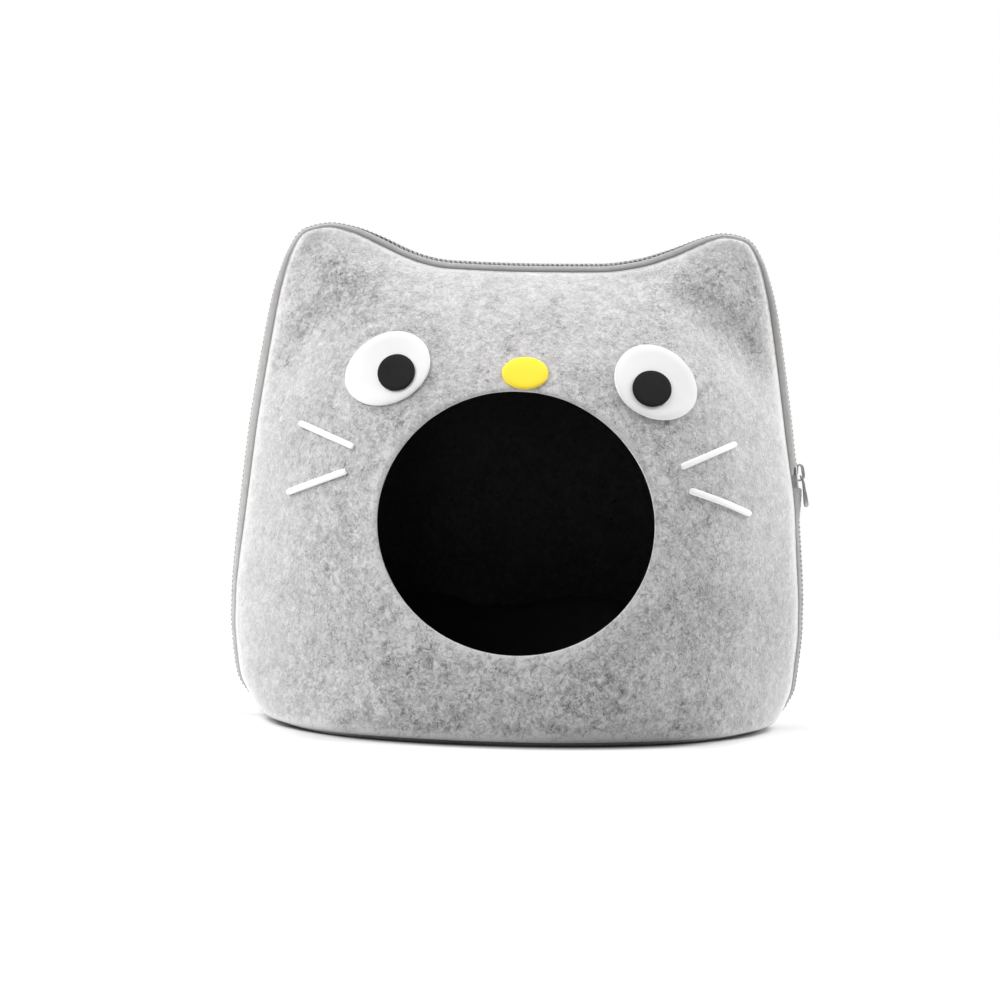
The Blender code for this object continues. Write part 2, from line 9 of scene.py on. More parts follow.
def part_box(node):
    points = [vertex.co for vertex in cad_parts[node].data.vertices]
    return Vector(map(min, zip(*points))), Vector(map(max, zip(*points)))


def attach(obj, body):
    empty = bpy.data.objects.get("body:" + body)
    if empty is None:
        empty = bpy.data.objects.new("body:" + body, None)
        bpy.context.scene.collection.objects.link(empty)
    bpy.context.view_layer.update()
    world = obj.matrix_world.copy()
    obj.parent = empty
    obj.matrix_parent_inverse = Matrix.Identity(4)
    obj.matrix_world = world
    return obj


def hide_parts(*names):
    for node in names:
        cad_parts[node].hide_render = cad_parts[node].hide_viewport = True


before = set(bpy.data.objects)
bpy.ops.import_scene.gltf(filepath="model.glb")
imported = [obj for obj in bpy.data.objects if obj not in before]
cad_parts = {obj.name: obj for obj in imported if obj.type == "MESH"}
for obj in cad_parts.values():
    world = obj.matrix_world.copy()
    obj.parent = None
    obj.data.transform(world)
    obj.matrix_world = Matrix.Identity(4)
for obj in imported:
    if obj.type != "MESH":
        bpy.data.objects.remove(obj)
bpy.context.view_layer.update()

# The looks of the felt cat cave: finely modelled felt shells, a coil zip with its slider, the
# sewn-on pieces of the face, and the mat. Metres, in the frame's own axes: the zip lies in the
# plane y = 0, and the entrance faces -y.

CM = 0.01
MM = 0.001
FRONT, BACK = -1, 1

# Shells
HEIGHT = 34.75 * CM
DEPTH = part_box("felt_back")[1].y
WIDEST_Z = 7.0 * CM  # above this height the walls lean in
FOOT_BULGE = 0.2 * CM  # the cave is this much deeper at the floor, on each side
FELT = 4.0 * MM
SEAM = 0.2 * MM  # the floor's two halves end this far from the zip's plane
RIM_Y = 6.0 * MM  # distance of the felt's edges from the zip's plane
RIM_ROLL = 4.5 * MM  # the walls are rounded this deep at their edges, over this reach
RIM_ROLL_REACH = 5.0 * MM
FLOOR_ROLL = 4.3 * MM  # and this deep and far where they meet the floor
SIDE_POWER = 2.6  # of the walls' curve from side to side, and of the one up to the top
TOP_POWER = 3.1
PLAN_POWERS = {-1: 2.1, 1: 1.8}  # of the plan at the floor, left and right
PLAN_BLEND_Z = 5.0 * CM  # they pass into SIDE_POWER up to this height
EAR_LEAN = 2.6 * MM  # beside the ears the top is lower on the right and higher on the left
EAR_LEAN_X = 10.5 * CM
EAR_LEAN_WIDTH = 3.0 * CM

# Outer line of the zip's teeth on the right half, from the floor over the ear to the middle
# (x cm, z cm, how far inside it the felt's edge lies, mm)
CREST = [
    (16.60, 0.00, 0.0), (17.65, 0.30, 0.0), (18.35, 0.90, 0.9), (19.00, 1.71, 2.5),
    (19.68, 3.00, 3.8), (20.11, 6.00, 4.1), (20.15, 8.00, 4.2), (20.11, 10.00, 4.6),
    (19.80, 14.00, 5.8), (19.23, 20.00, 6.8), (18.68, 24.00, 6.8), (18.04, 28.00, 6.5),
    (17.64, 30.00, 6.0), (17.06, 32.00, 5.0), (16.63, 33.00, 4.4), (16.00, 34.00, 3.6),
    (15.20, 34.50, 3.2), (13.70, 34.75, 3.6), (12.00, 34.40, 5.2), (10.00, 33.67, 6.8),
    (8.00, 32.93, 7.2), (6.00, 32.48, 7.2), (4.00, 32.37, 7.2), (0.00, 32.31, 7.2),
]
SHOULDER_ROW = 16  # near the ear's tip, where the flank ends and the top begins
CREST_SAMPLES = 12  # places for each row of CREST on the zip's path
OUTLINE_SAMPLES = 24  # and on the felt's outline

# The lower right corner is fuller than the left one, and both curl up off the floor a little.
CORNER_WIDEN = 5.5 * MM
CORNER_HEIGHT = 2.2 * CM
CORNER_LIFTS = {-1: 2.5 * MM, 1: 2.1 * MM}
CORNER_LIFT_FROM = 10.5 * CM
CORNER_LIFT_REACH = 7.5 * CM
CORNER_LIFT_TOP = 5.0 * CM

# Round and below the slider the felt's edge lies closer to the teeth.
SLIDER_TUCK = 2.2 * MM
SLIDER_TUCK_Z = 15.8 * CM
SLIDER_TUCK_WIDTH = 3.2 * CM

# Painted shade: the felt is painted darker where it turns under the cave, where the contact shade
# falls, up to this height.
UNDER_SHADE_HEIGHT = 2.8 * MM
UNDER_SHADE_HALF_WIDTH = 16.6 * CM

# Where an ear joins the head, the wall has a soft hollow along a slanting line. Across the line,
# places are measured along CREASE_ACROSS from the floor's middle.
CREASE_ACROSS = (0.568, 0.823)
CREASE_AT = 30.3 * CM
CREASE_HALF_WIDTH = 2.0 * CM
CREASE_ALONG = -3.2 * CM
CREASE_HALF_LENGTH = 5.2 * CM
CREASE_DEPTH = 8.0 * MM
CREASE_FADE = 30.0 * MM
# An ear's felt has more dark fibres from this far below that line, over this distance, and there
# the right ear also takes painted shade.
EAR_TONE_BELOW = 1.2 * CM
EAR_TONE_FADE = 2.6 * CM

# Entrance
HOLE_X = -0.11 * CM
HOLE_Z = 14.42 * CM
HOLE_HALF_WIDTH = 9.11 * CM
HOLE_HALF_HEIGHT = 8.59 * CM
HOLE_SLANT = -0.6 * MM  # the cut isn't a true ellipse: fuller at its upper left and lower right
HOLE_WAVE = -0.3 * MM  # and a little fuller at its top than below

# Fineness of the shells
RIM_STEP = 3.6 * MM
FLOOR_STEP = 5.0 * MM
EDGE_ROWS = [d * MM for d in (0.5, 1.1, 1.8, 2.6, 3.4, 4.2, 5.2)]
WALL_STEP_COUNT = 33
WALL_STEP_GROWTH = 1.25  # the rows lie closer together near the zip
FLOOR_ROW_COUNT = 7
RIM_HIGHLIGHT_REACH = 6.0 * MM  # painted highlight: the felt is painted paler along its edges, over this distance
TOP_HIGHLIGHT_LOSS = 1.1  # but the painted highlight is weaker along the top, which is a little darker
RIM_BULGE = 0.5 * MM
CUT_BULGE = 0.7 * MM
# Section of a felt edge: (share of the way through the felt, share of the bulge)
EDGE_SECTION = [(0.05, 0.42), (0.18, 0.8), (0.5, 1.0), (0.82, 0.8), (0.95, 0.42)]

# Unevenness of the felt: (wavelength, height)
LUMPS = [(70 * MM, 0.9 * MM), (26 * MM, 0.35 * MM), (7 * MM, 0.12 * MM)]
LUMP_FADE_Y = 12.0 * MM  # they fade out towards the zip and the floor, over these distances
LUMP_FADE_Z = 15.0 * MM

# Zip
TAPE = 0.8 * MM
TAPE_FLANGE = 4.5 * MM
TAPE_STEP = 1.0 * MM
SADDLE_HALF_LENGTH = 13.0 * CM
SADDLE_FADE = 5.0 * CM
LEAST_REACH = 2.4 * MM  # the tape goes at least this far in under the felt
TAPE_BEHIND = RIM_Y - RIM_BULGE - 0.35 * MM  # the tape's outer face lies here under the felt
ZIP_LOWEST = 0.3 * MM  # height of the tapes' ends over the floor
COIL_PITCH = 3.4 * MM
COIL_WIRE = 0.42 * MM
COIL_FLAT = 1.9  # the wire is pressed a little flat across the zip, as a coil's head is
COIL_SIDES = 6
COIL_MARGIN = 2.0 * MM  # bare length at each of the zip's ends
COIL_LOWEST = 1.2 * MM  # height of the lowest loop over the floor
BACK_ROW_SINK = 0.55 * MM  # so that each loop of the front row shows
COIL_SINK = 1.0 * MM  # under the slider the coil lies this much deeper
CORD_THICK = 1.3 * MM
CORD_SIZE = (1.5 * MM, 0.6 * MM)  # half width, and how deep its outer face lies
CORD_SIZE_UNDER_SLIDER = (0.7 * MM, 0.1 * MM)
NOTCH = 0.14 * MM  # height of the notches in the tape's outline below the slider

# Slider
SLIDER_CROWN_SHIFT = 0.7 * MM  # its middle lies this much below its box's middle
SLIDER_ABOVE = 8.0 * MM  # from the slider's middle to its upper end
SLIDER_BELOW = 7.9 * MM  # and to its lower end
SLIDER_LIFT = 1.2 * MM  # the zip's crest stands this far out just above the slider
SLIDER_PRESS = 0.3 * MM  # the slider presses the crest this far in
SWELL = 3.0 * MM  # the tapes stand this far out just below the slider
SWELL_ABOVE = 5.8 * MM  # distances over which the crest sinks back, above and below it
SWELL_BELOW = 27.0 * MM
PARTING = 1.3 * MM  # below the slider each row of teeth moves this far aside
PARTING_RUN = 20.0 * MM
COVER_RUN = 2.0 * MM  # the tapes close over the teeth within this distance
METAL_EDGE = 0.22 * MM

# Egg-shaped pieces of the face. name: (node, kind, (x cm, z cm, half length cm, half width cm,
# egg taper, turn degrees))
PATCHES = {
    "left_eye": ("eye_left", "eye", (-8.95, 24.34, 2.98, 2.33, 0.051, 28.9)),
    "right_eye": ("eye_right", "eye", (8.97, 23.80, 2.89, 2.37, -0.065, -28.4)),
    "left_pupil": ("pupil_left", "pupil", (-8.27, 24.00, 1.24, 1.22, 0.0, 0.0)),
    "right_pupil": ("pupil_right", "pupil", (8.61, 23.31, 1.30, 1.19, 0.0, 0.0)),
    "nose_patch": ("nose", "nose", (0.25, 24.22, 1.53, 1.06, 0.0, 0.0)),
}
PATCH = 2.0 * MM
PUPIL = 1.4 * MM
PATCH_ON_FELT = 0.25 * MM
PUPIL_ON_FELT = PATCH_ON_FELT + PATCH + 0.15 * MM
# kind: (colour, height over the wall, thickness, points round it, flat size m, area m2)
PATCH_KINDS = {
    "eye": ("white", PATCH_ON_FELT, PATCH, 96, (0.060, 0.046), 0.00214),
    "pupil": ("black", PUPIL_ON_FELT, PUPIL, 72, (0.025, 0.025), 0.00049),
    "nose": ("yellow", PATCH_ON_FELT, PATCH, 80, (0.031, 0.022), 0.00053),
}
# Whiskers: (inner x cm, inner z cm, outer x cm, outer z cm, bend mm)
WHISKERS = [
    (-11.01, 19.13, -14.92, 20.65, 0.0), (-11.44, 17.51, -15.69, 15.91, 0.0),
    (10.70, 18.30, 14.50, 19.92, 0.0), (11.29, 16.76, 15.64, 15.19, 0.6),
]
WHISKER_HALF_WIDTH = 2.1 * MM
WHISKER_THICK = 1.7 * MM
WHISKER_END = 1.0 * MM  # the ends are rounded over this length
WHISKER_STEPS = 28
# (across, height) round one half of a whisker's section
WHISKER_SECTION = [(-0.94, 0.0), (-1.0, 0.3), (-0.97, 0.75), (-0.8, 1.0), (-0.3, 1.05)]

# Mat
MAT_CLEAR = 5.5 * MM
MAT_LIFT = 0.5 * MM
MAT_MIDDLE = 2.6 * CM
MAT_EDGE_BACK = 7.4 * CM
MAT_EDGE_FRONT = 4.6 * CM
MAT_EDGE_RADIUS = 8.0 * MM
MAT_SLOPE = 0.42  # share of the way in over which the mat slopes down to its middle
MAT_COLUMNS = 120
MAT_ROWS = 26
# How far the mat's back edge rises above its even height: (x cm, mm)
MAT_EDGE_RISE = [
    (-14.0, 10.0), (-8.1, 11.0), (-6.5, 7.6), (-3.3, -1.0), (0.0, 4.0), (2.3, 7.0), (5.5, 10.6),
    (7.7, 8.4), (9.0, 5.0), (14.0, 3.0),
]


# ---- the cave's form


def smoothstep(share):
    """From 0 to 1 with soft ends, for a share that is first held between 0 and 1."""
    share = np.clip(share, 0.0, 1.0)
    return share * share * (3 - 2 * share)


def catmull_rom(rows, place):
    """The point at a fractional row of a table, on a smooth curve through its rows."""
    last = len(rows) - 1
    index = min(int(place), last - 1)
    t = place - index
    before = rows[max(index - 1, 0)]
    after = rows[index + 2] if index + 2 <= last else rows[last - 1] * (-1, 1, 1)
    here, there = rows[index], rows[index + 1]
    return 0.5 * (
        2 * here
        + (there - before) * t
        + (2 * before - 5 * here + 4 * there - after) * t**2
        + (3 * here - before - 3 * there + after) * t**3
    )


CREST_ROWS = np.array(CREST) * (CM, CM, MM)


def crest_at(place, side):
    """Crest point (x, z), inward direction and reach at a fractional row of CREST."""

    def leaning(at):
        x, z, reach = catmull_rom(CREST_ROWS, at)
        bump = math.exp(-(((x - EAR_LEAN_X) / EAR_LEAN_WIDTH) ** 2))
        z -= side * EAR_LEAN * bump * z / HEIGHT
        if side > 0:
            x += CORNER_WIDEN * math.exp(-((max(z, 0.0) / CORNER_HEIGHT) ** 1.6))
            reach -= SLIDER_TUCK * math.exp(-(((z - SLIDER_TUCK_Z) / SLIDER_TUCK_WIDTH) ** 2))
        return np.array([side * x, z]), reach

    point, reach = leaning(place)
    step = 0.02
    start, end = max(place - step, 0), min(place + step, len(CREST) - 1)
    along = leaning(end)[0] - leaning(start)[0]
    along /= np.linalg.norm(along)
    inward = np.array([-along[1], along[0]]) * side
    if place >= len(CREST) - 1:
        inward = np.array([0.0, -1.0])
    return point, inward, max(reach, 0.0)


class Crest:
    """The zip's outer line as a path, from the right lower end over both ears to the left one."""

    def __init__(self):
        end = len(CREST) - 1
        places = np.linspace(0, end, CREST_SAMPLES * end + 1)
        rows = [crest_at(p, 1) for p in places] + [crest_at(p, -1) for p in places[-2::-1]]
        self.point, self.inward, self.reach = (np.array(column) for column in zip(*rows))
        steps = np.linalg.norm(np.diff(self.point, axis=0), axis=1)
        self.run = np.concatenate([[0.0], np.cumsum(steps)])
        self.length = self.run[-1]

    def at(self, run):
        """Point, inward direction and reach at distances along the path, as arrays."""

        def read(values):
            return np.interp(run, self.run, values)

        point = np.stack([read(self.point[:, 0]), read(self.point[:, 1])], -1)
        inward = np.stack([read(self.inward[:, 0]), read(self.inward[:, 1])], -1)
        inward /= np.linalg.norm(inward, axis=-1, keepdims=True)
        return point, inward, read(self.reach)


ZIP = Crest()


def felt_edge(run):
    """Felt edge points (x, z) and inward directions at distances along the zip."""
    point, inward, reach = ZIP.at(run)
    edge = point + inward * reach[..., None]
    edge[..., 1] = np.maximum(edge[..., 1], 0.0)
    return edge, inward


class Outline:
    """The felt's edge on one side as seen from the front, as half widths and heights of the top."""

    def __init__(self, side):
        end = len(CREST) - 1
        points = []
        for place in np.linspace(0, end, OUTLINE_SAMPLES * end + 1):
            point, inward, reach = crest_at(place, side)
            edge = point + inward * reach
            points.append((abs(edge[0]), max(edge[1], 0.0)))
        points = np.array(points)
        shoulder = SHOULDER_ROW * OUTLINE_SAMPLES
        self.flank = points[: shoulder + 1]
        self.top = points[shoulder:][::-1]

    def half_width(self, z):
        return np.interp(z, self.flank[:, 1], self.flank[:, 0])

    def top_height(self, x):
        return np.interp(np.abs(x), self.top[:, 0], self.top[:, 1])


OUTLINES = {side: Outline(side) for side in (-1, 1)}


def wall_depth(x, z):
    """How far the felt's outer face is from the zip's plane, before its edges are rounded."""
    x, z = np.asarray(x, float), np.asarray(z, float)
    left, right = OUTLINES[-1], OUTLINES[1]
    width = np.where(x < 0, left.half_width(z), right.half_width(z))
    top = np.where(x < 0, left.top_height(x), right.top_height(x))
    across = np.minimum(np.abs(x) / width, 1.0)
    up = np.clip((z - WIDEST_Z) / (top - WIDEST_Z), 0.0, 1.0)
    low = np.maximum(1 - z / PLAN_BLEND_Z, 0.0) ** 2
    plan = np.where(x < 0, PLAN_POWERS[-1], PLAN_POWERS[1])
    power = SIDE_POWER + (plan - SIDE_POWER) * low
    root = 1 / (1 + (plan - 1) * low)
    middle = DEPTH + FOOT_BULGE * np.maximum(1 - z / WIDEST_Z, 0.0) ** 2
    edge = RIM_Y + RIM_ROLL
    above = (middle - edge) * (1 - across**power) ** root * (1 - up**TOP_POWER)
    return edge + above - ear_hollow(np.abs(x), z, above)


def ear_hollow(x, z, above):
    """Depth of the hollow where an ear joins the head. It fades out towards the zip."""
    nx, nz = CREASE_ACROSS
    over = (x * nx + z * nz - CREASE_AT) / CREASE_HALF_WIDTH
    along = (x * nz - z * nx - CREASE_ALONG) / CREASE_HALF_LENGTH
    return CREASE_DEPTH * np.exp(-(over**2) - along**4) * smoothstep(above / CREASE_FADE)


def ear_share(x, z):
    """1 in an ear's tip and 0 on the head."""
    over = x * CREASE_ACROSS[0] + z * CREASE_ACROSS[1] - CREASE_AT + EAR_TONE_BELOW
    return smoothstep(over / EAR_TONE_FADE)


def rolled(depth, distance, roll, reach):
    """The depth at a distance from a rounded edge."""
    share = 1 - np.minimum(distance / reach, 1.0)
    return depth - roll * (1 - np.sqrt(1 - share**2))


def outward_normal(x, z, facing=FRONT):
    """Outward direction of a wall's outer face."""
    step = 1.0 * MM
    slope_x = (wall_depth(x + step, z) - wall_depth(x - step, z)) / (2 * step)
    slope_z = (wall_depth(x, z + step) - wall_depth(x, z - step)) / (2 * step)
    normal = np.array([-slope_x, float(facing), -slope_z])
    return normal / np.linalg.norm(normal)


def lump_height(point, facing):
    """How far the felt stands out of its smooth form at a point."""
    total = 0.0
    for wavelength, height in LUMPS:
        place = Vector(point) / wavelength + Vector((0.0, 7.3 * facing, 0.0))
        total += height * noise.noise(place)
    return total


def on_front(x, z, lift):
    """A point at a distance off the front wall's outer face, lumps included."""
    point = np.array([x, -float(wall_depth(x, z)), z])
    normal = outward_normal(x, z)
    return point + normal * (lift + lump_height(point, FRONT))


# ---- meshes


def corner_lift(x, z):
    """How far a point at the cave's lower corners is raised off the floor."""
    low = max(1 - z / CORNER_LIFT_TOP, 0.0)
    side = 1 if x > 0 else -1
    return CORNER_LIFTS[side] * smoothstep((abs(x) - CORNER_LIFT_FROM) / CORNER_LIFT_REACH) * low**2


def add_object(name, data):
    """A new object in the scene."""
    item = bpy.data.objects.new(name, data)
    bpy.context.scene.collection.objects.link(item)
    return item


def add_piece(name, mesh, materials, smooth_angle=None):
    """A bmesh as an object that rides on the cave."""
    for vert in mesh.verts:
        vert.co.z += corner_lift(vert.co.x, vert.co.z)
    data = bpy.data.meshes.new(name)
    mesh.to_mesh(data)
    mesh.free()
    data.shade_smooth()
    if smooth_angle:
        data.set_sharp_from_angle(angle=math.radians(smooth_angle))
    for material in materials:
        data.materials.append(material)
    piece = add_object(name, data)
    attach(piece, "root")
    return piece


def bridge(mesh, rings):
    """Faces between rings of vertices, with both ends closed."""
    for here, there in zip(rings, rings[1:]):
        for i in range(len(here)):
            j = (i + 1) % len(here)
            mesh.faces.new((here[i], here[j], there[j], there[i]))
    mesh.faces.new(rings[0][::-1])
    mesh.faces.new(rings[-1])


def skin(mesh, rings):
    """The mesh as one closed piece over its rings of vertices."""
    bridge(mesh, rings)
    bmesh.ops.recalc_face_normals(mesh, faces=mesh.faces)
    return mesh


def tube(rings):
    """A new mesh over rings of places."""
    mesh = bmesh.new()
    return skin(mesh, [[mesh.verts.new(place) for place in ring] for ring in rings])


def felt_outline():
    """A shell's edge all round, first along the zip and then along the floor: points (x, z),
    inward directions, the count of steps along the zip, and the edge's roll and its reach."""
    rim_count = round(ZIP.length / RIM_STEP)
    edge, inward = felt_edge(np.linspace(0.0, ZIP.length, rim_count + 1))
    inward[0] = inward[-1] = (0.0, 1.0)
    corner_right, corner_left = edge[0, 0], edge[-1, 0]
    floor_count = round((corner_right - corner_left) / FLOOR_STEP)
    turn = math.pi * np.arange(1, floor_count) / floor_count
    floor_x = (corner_left + corner_right) / 2 + (corner_left - corner_right) / 2 * np.cos(turn)
    floor = np.stack([floor_x, np.zeros_like(floor_x)], -1)
    edge = np.concatenate([edge, floor])
    inward = np.concatenate([inward, np.tile((0.0, 1.0), (len(floor), 1))])
    middle = np.zeros(len(edge))
    middle[rim_count + 1 :] = 1 - np.cos(turn) ** 4
    roll = RIM_ROLL + (FLOOR_ROLL - RIM_ROLL) * middle
    reach = RIM_ROLL_REACH + (FLOOR_ROLL - RIM_ROLL_REACH) * middle
    return edge, inward, rim_count, roll, reach


def shell_rows(edge, inward, roll, reach, has_entrance):
    """Rows of places (x, depth, z) from a shell's edge to the entrance or to its middle."""
    depth = wall_depth(edge[:, 0], edge[:, 1])
    # The first rows go out over the rounded edge.
    rows = [(edge[:, 0], depth - share * roll, edge[:, 1]) for share in (1.0, 0.72, 0.45)]
    for distance in EDGE_ROWS:
        place = edge + inward * distance
        bent = rolled(wall_depth(place[:, 0], place[:, 1]), distance, roll, reach)
        rows.append((place[:, 0], bent, place[:, 1]))
    angle = np.arctan2(edge[:, 1] - HOLE_Z, edge[:, 0])
    end = np.zeros_like(place)
    end[:, 1] = HOLE_Z
    shares = np.linspace(0, 1, WALL_STEP_COUNT + 1)[1:] ** WALL_STEP_GROWTH
    if has_entrance:
        grow = CUT_BULGE + HOLE_SLANT * np.sin(2 * angle) + HOLE_WAVE * np.sin(3 * angle)
        end[:, 0] = HOLE_X + (HOLE_HALF_WIDTH + grow) * np.cos(angle)
        end[:, 1] += (HOLE_HALF_HEIGHT + grow) * np.sin(angle)
    else:
        shares = shares[:-1]
    for share in shares:
        spot = place + (end - place) * share
        rows.append((spot[:, 0], wall_depth(spot[:, 0], spot[:, 1]), spot[:, 1]))
    return rows


def shell_sheet(facing, has_entrance):
    """The outer face of a shell as a bmesh sheet, and the vertices along the entrance's cut."""
    edge, inward, rim_count, roll, reach = felt_outline()
    rows = shell_rows(edge, inward, roll, reach, has_entrance)
    sheet = bmesh.new()
    layers = sheet.verts.layers.float
    rim_highlight, ear, _, under = [layers.new(name) for name in ("rim_highlight", "ear", "steep", "under")]
    grid = []
    for x, y, z in rows:
        grid.append([sheet.verts.new((a, facing * b, c)) for a, b, c in zip(x, y, z)])
        # Painted highlight: how much paler the felt is painted near its edges and near the
        # entrance's cut.
        away = np.hypot(x - edge[:, 0], z - edge[:, 1])
        top = np.minimum(inward[:, 1], 0.0) ** 4
        pale = np.exp(-away / RIM_HIGHLIGHT_REACH) * (1 - TOP_HIGHLIGHT_LOSS * top)
        if has_entrance:
            across = np.hypot((x - HOLE_X) / HOLE_HALF_WIDTH, (z - HOLE_Z) / HOLE_HALF_HEIGHT)
            away = np.abs(across - 1) * HOLE_HALF_WIDTH
            pale = np.maximum(pale, np.exp(-away / RIM_HIGHLIGHT_REACH))
        for vert, share in zip(grid[-1], pale):
            vert[rim_highlight] = share
            vert[ear] = ear_share(abs(vert.co.x), vert.co.z)
            # Where the painted shade under the cave goes: the felt that turns under it, up to a
            # height.
            taper = 1 - min(abs(vert.co.x) / UNDER_SHADE_HALF_WIDTH, 0.98) ** 6
            vert[under] = (UNDER_SHADE_HEIGHT * taper - vert.co.z) / MM
    count = len(edge)
    for low, high in zip(grid, grid[1:]):
        for i in range(count):
            j = (i + 1) % count
            sheet.faces.new((low[i], low[j], high[j], high[i]))
    if not has_entrance:
        pole = sheet.verts.new((0.0, facing * float(wall_depth(0.0, HOLE_Z)), HOLE_Z))
        for i in range(count):
            sheet.faces.new((grid[-1][i], grid[-1][(i + 1) % count], pole))

    strips = []
    for i in [*range(rim_count, count), 0]:
        here = grid[0][i]
        strip = [here]
        for step in range(1, FLOOR_ROW_COUNT + 1):
            y = here.co.y + (facing * SEAM - here.co.y) * step / FLOOR_ROW_COUNT
            strip.append(sheet.verts.new((here.co.x, y, 0.0)))
            strip[-1][under] = 1.0
        strips.append(strip)
    for here, there in zip(strips, strips[1:]):
        for row in range(FLOOR_ROW_COUNT):
            sheet.faces.new((here[row], here[row + 1], there[row + 1], there[row]))
    if facing == BACK:
        bmesh.ops.reverse_faces(sheet, faces=sheet.faces)
    sheet.normal_update()
    return sheet, set(grid[-1]) if has_entrance else set()


def make_uneven(sheet, facing):
    """Raise the lumps on a shell's outer face, fading out at its edges and at the floor."""
    steep = sheet.verts.layers.float["steep"]
    for vert in sheet.verts:
        x, y, z = vert.co
        vert[steep] = 1 - abs(vert.normal.y)
        fade = min(max((abs(y) - RIM_Y) / LUMP_FADE_Y, 0.0), 1.0)
        fade *= min(max(z / LUMP_FADE_Z, 0.0), 1.0)
        if fade > 0:
            vert.co += vert.normal * (lump_height((x, y, z), facing) * fade)
    sheet.normal_update()


def thicken(sheet, cut, facing):
    """Give a sheet the felt's thickness, with a soft rounded section along its edges."""
    rim_highlight, steep, under = (sheet.verts.layers.float[name] for name in ("rim_highlight", "steep", "under"))
    borders = [edge for edge in sheet.edges if edge.is_boundary]
    faces = list(sheet.faces)
    inner, section = {}, {}
    for vert in list(sheet.verts):
        back = -vert.normal * FELT
        if vert in cut:
            back = Vector((0.0, -FELT / vert.normal.y, 0.0))
        inner[vert] = sheet.verts.new(vert.co + back)
        if not vert.is_boundary:
            continue
        out = Vector((0.0, -facing, 0.0)) * RIM_BULGE
        if vert in cut:
            to_middle = Vector((HOLE_X - vert.co.x, 0.0, HOLE_Z - vert.co.z))
            out = to_middle.normalized() * CUT_BULGE
        ring = [sheet.verts.new(vert.co + back * t + out * b) for t, b in EDGE_SECTION]
        for spot in ring:
            spot[rim_highlight], spot[steep], spot[under] = vert[rim_highlight], vert[steep], vert[under]
        section[vert] = [vert, *ring, inner[vert]]
    for face in faces:
        dark = sheet.faces.new([inner[vert] for vert in reversed(face.verts)])
        dark.material_index = 1
    for edge in borders:
        loop = edge.link_loops[0]
        here, there = section[loop.vert], section[loop.link_loop_next.vert]
        for row in range(len(here) - 1):
            sheet.faces.new((there[row], here[row], here[row + 1], there[row + 1]))


def add_shell(name, node, facing, has_entrance, materials):
    """One moulded half of the cave."""
    sheet, cut = shell_sheet(facing, has_entrance)
    make_uneven(sheet, facing)
    thicken(sheet, cut, facing)
    piece = add_piece(name, sheet, materials)
    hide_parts(node)


# ---- zip


def sweep(name, count, section, materials):
    """A bar all along the zip. section(reach, run) gives (inset, y) points."""
    mesh = bmesh.new()
    weave = mesh.verts.layers.float_vector.new("weave")
    rings = []
    runs = np.linspace(0.0, ZIP.length, count)
    point, inward, reach = ZIP.at(runs)
    for i, run in enumerate(runs):
        ring = []
        across = 0.0
        before = None
        for inset, y in section(reach[i], run):
            x, z = point[i] + inward[i] * inset
            vert = mesh.verts.new((x, y, max(z, ZIP_LOWEST)))
            if before is not None:
                across += math.dist(before, (inset, y))
            before = (inset, y)
            vert[weave] = (run, across, inset / max(reach[i], LEAST_REACH))
            ring.append(vert)
        rings.append(ring)
    return add_piece(name, skin(mesh, rings), materials, smooth_angle=50)


def slider_frame():
    """Distance of the slider along the zip, and its crest point, outward and upward directions."""
    low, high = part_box("zip_slider")
    height = (low.z + high.z) / 2 - SLIDER_CROWN_SHIFT
    top = int(np.argmax(ZIP.point[:, 1] * (ZIP.point[:, 0] > 0)))
    run = float(np.interp(height, ZIP.point[:top, 1], ZIP.run[:top]))
    point, inward, _ = ZIP.at(run)
    outward = Vector((-inward[0], 0.0, -inward[1]))
    upward = Vector((-outward.z, 0.0, outward.x))
    return run, Vector((point[0], 0.0, point[1])), outward, upward


SLIDER_RUN, SLIDER_AT, SLIDER_OUT, SLIDER_UP = slider_frame()


def below_slider(run):
    """Distance below the slider's middle, along the zip."""
    return SLIDER_RUN - run


def parting(run):
    """How far each row of teeth stands from the middle plane: the zip is open below its slider."""
    return PARTING * float(np.clip(below_slider(run) / PARTING_RUN, 0.0, 1.0))


def swelling(run):
    """How far the zip stands outside its smooth line near the slider."""
    below = below_slider(run)
    if below < -SLIDER_ABOVE:
        return SLIDER_LIFT * math.exp((below + SLIDER_ABOVE) / SWELL_ABOVE)
    if below < SLIDER_BELOW:
        step = 1.0 * MM
        places = (-SLIDER_ABOVE, step - SLIDER_ABOVE, SLIDER_BELOW - step, SLIDER_BELOW)
        return float(np.interp(below, places, (SLIDER_LIFT, -SLIDER_PRESS, -SLIDER_PRESS, SWELL)))
    return SWELL * float(smoothstep(1 - (below - SLIDER_BELOW) / SWELL_BELOW))


def under_slider(run):
    """Whether a place on the zip lies under the slider."""
    return abs(below_slider(run)) < SLIDER_ABOVE


def covered(run):
    """1 where the tapes close over the teeth, from the slider downwards, and 0 above it."""
    return float(np.clip((below_slider(run) + SLIDER_ABOVE) / COVER_RUN, 0.0, 1.0))


def saddle(run):
    """1 between the ears and 0 on the ears and the sides: where more of the teeth shows."""
    return float(smoothstep((SADDLE_HALF_LENGTH - abs(run - ZIP.length / 2)) / SADDLE_FADE))


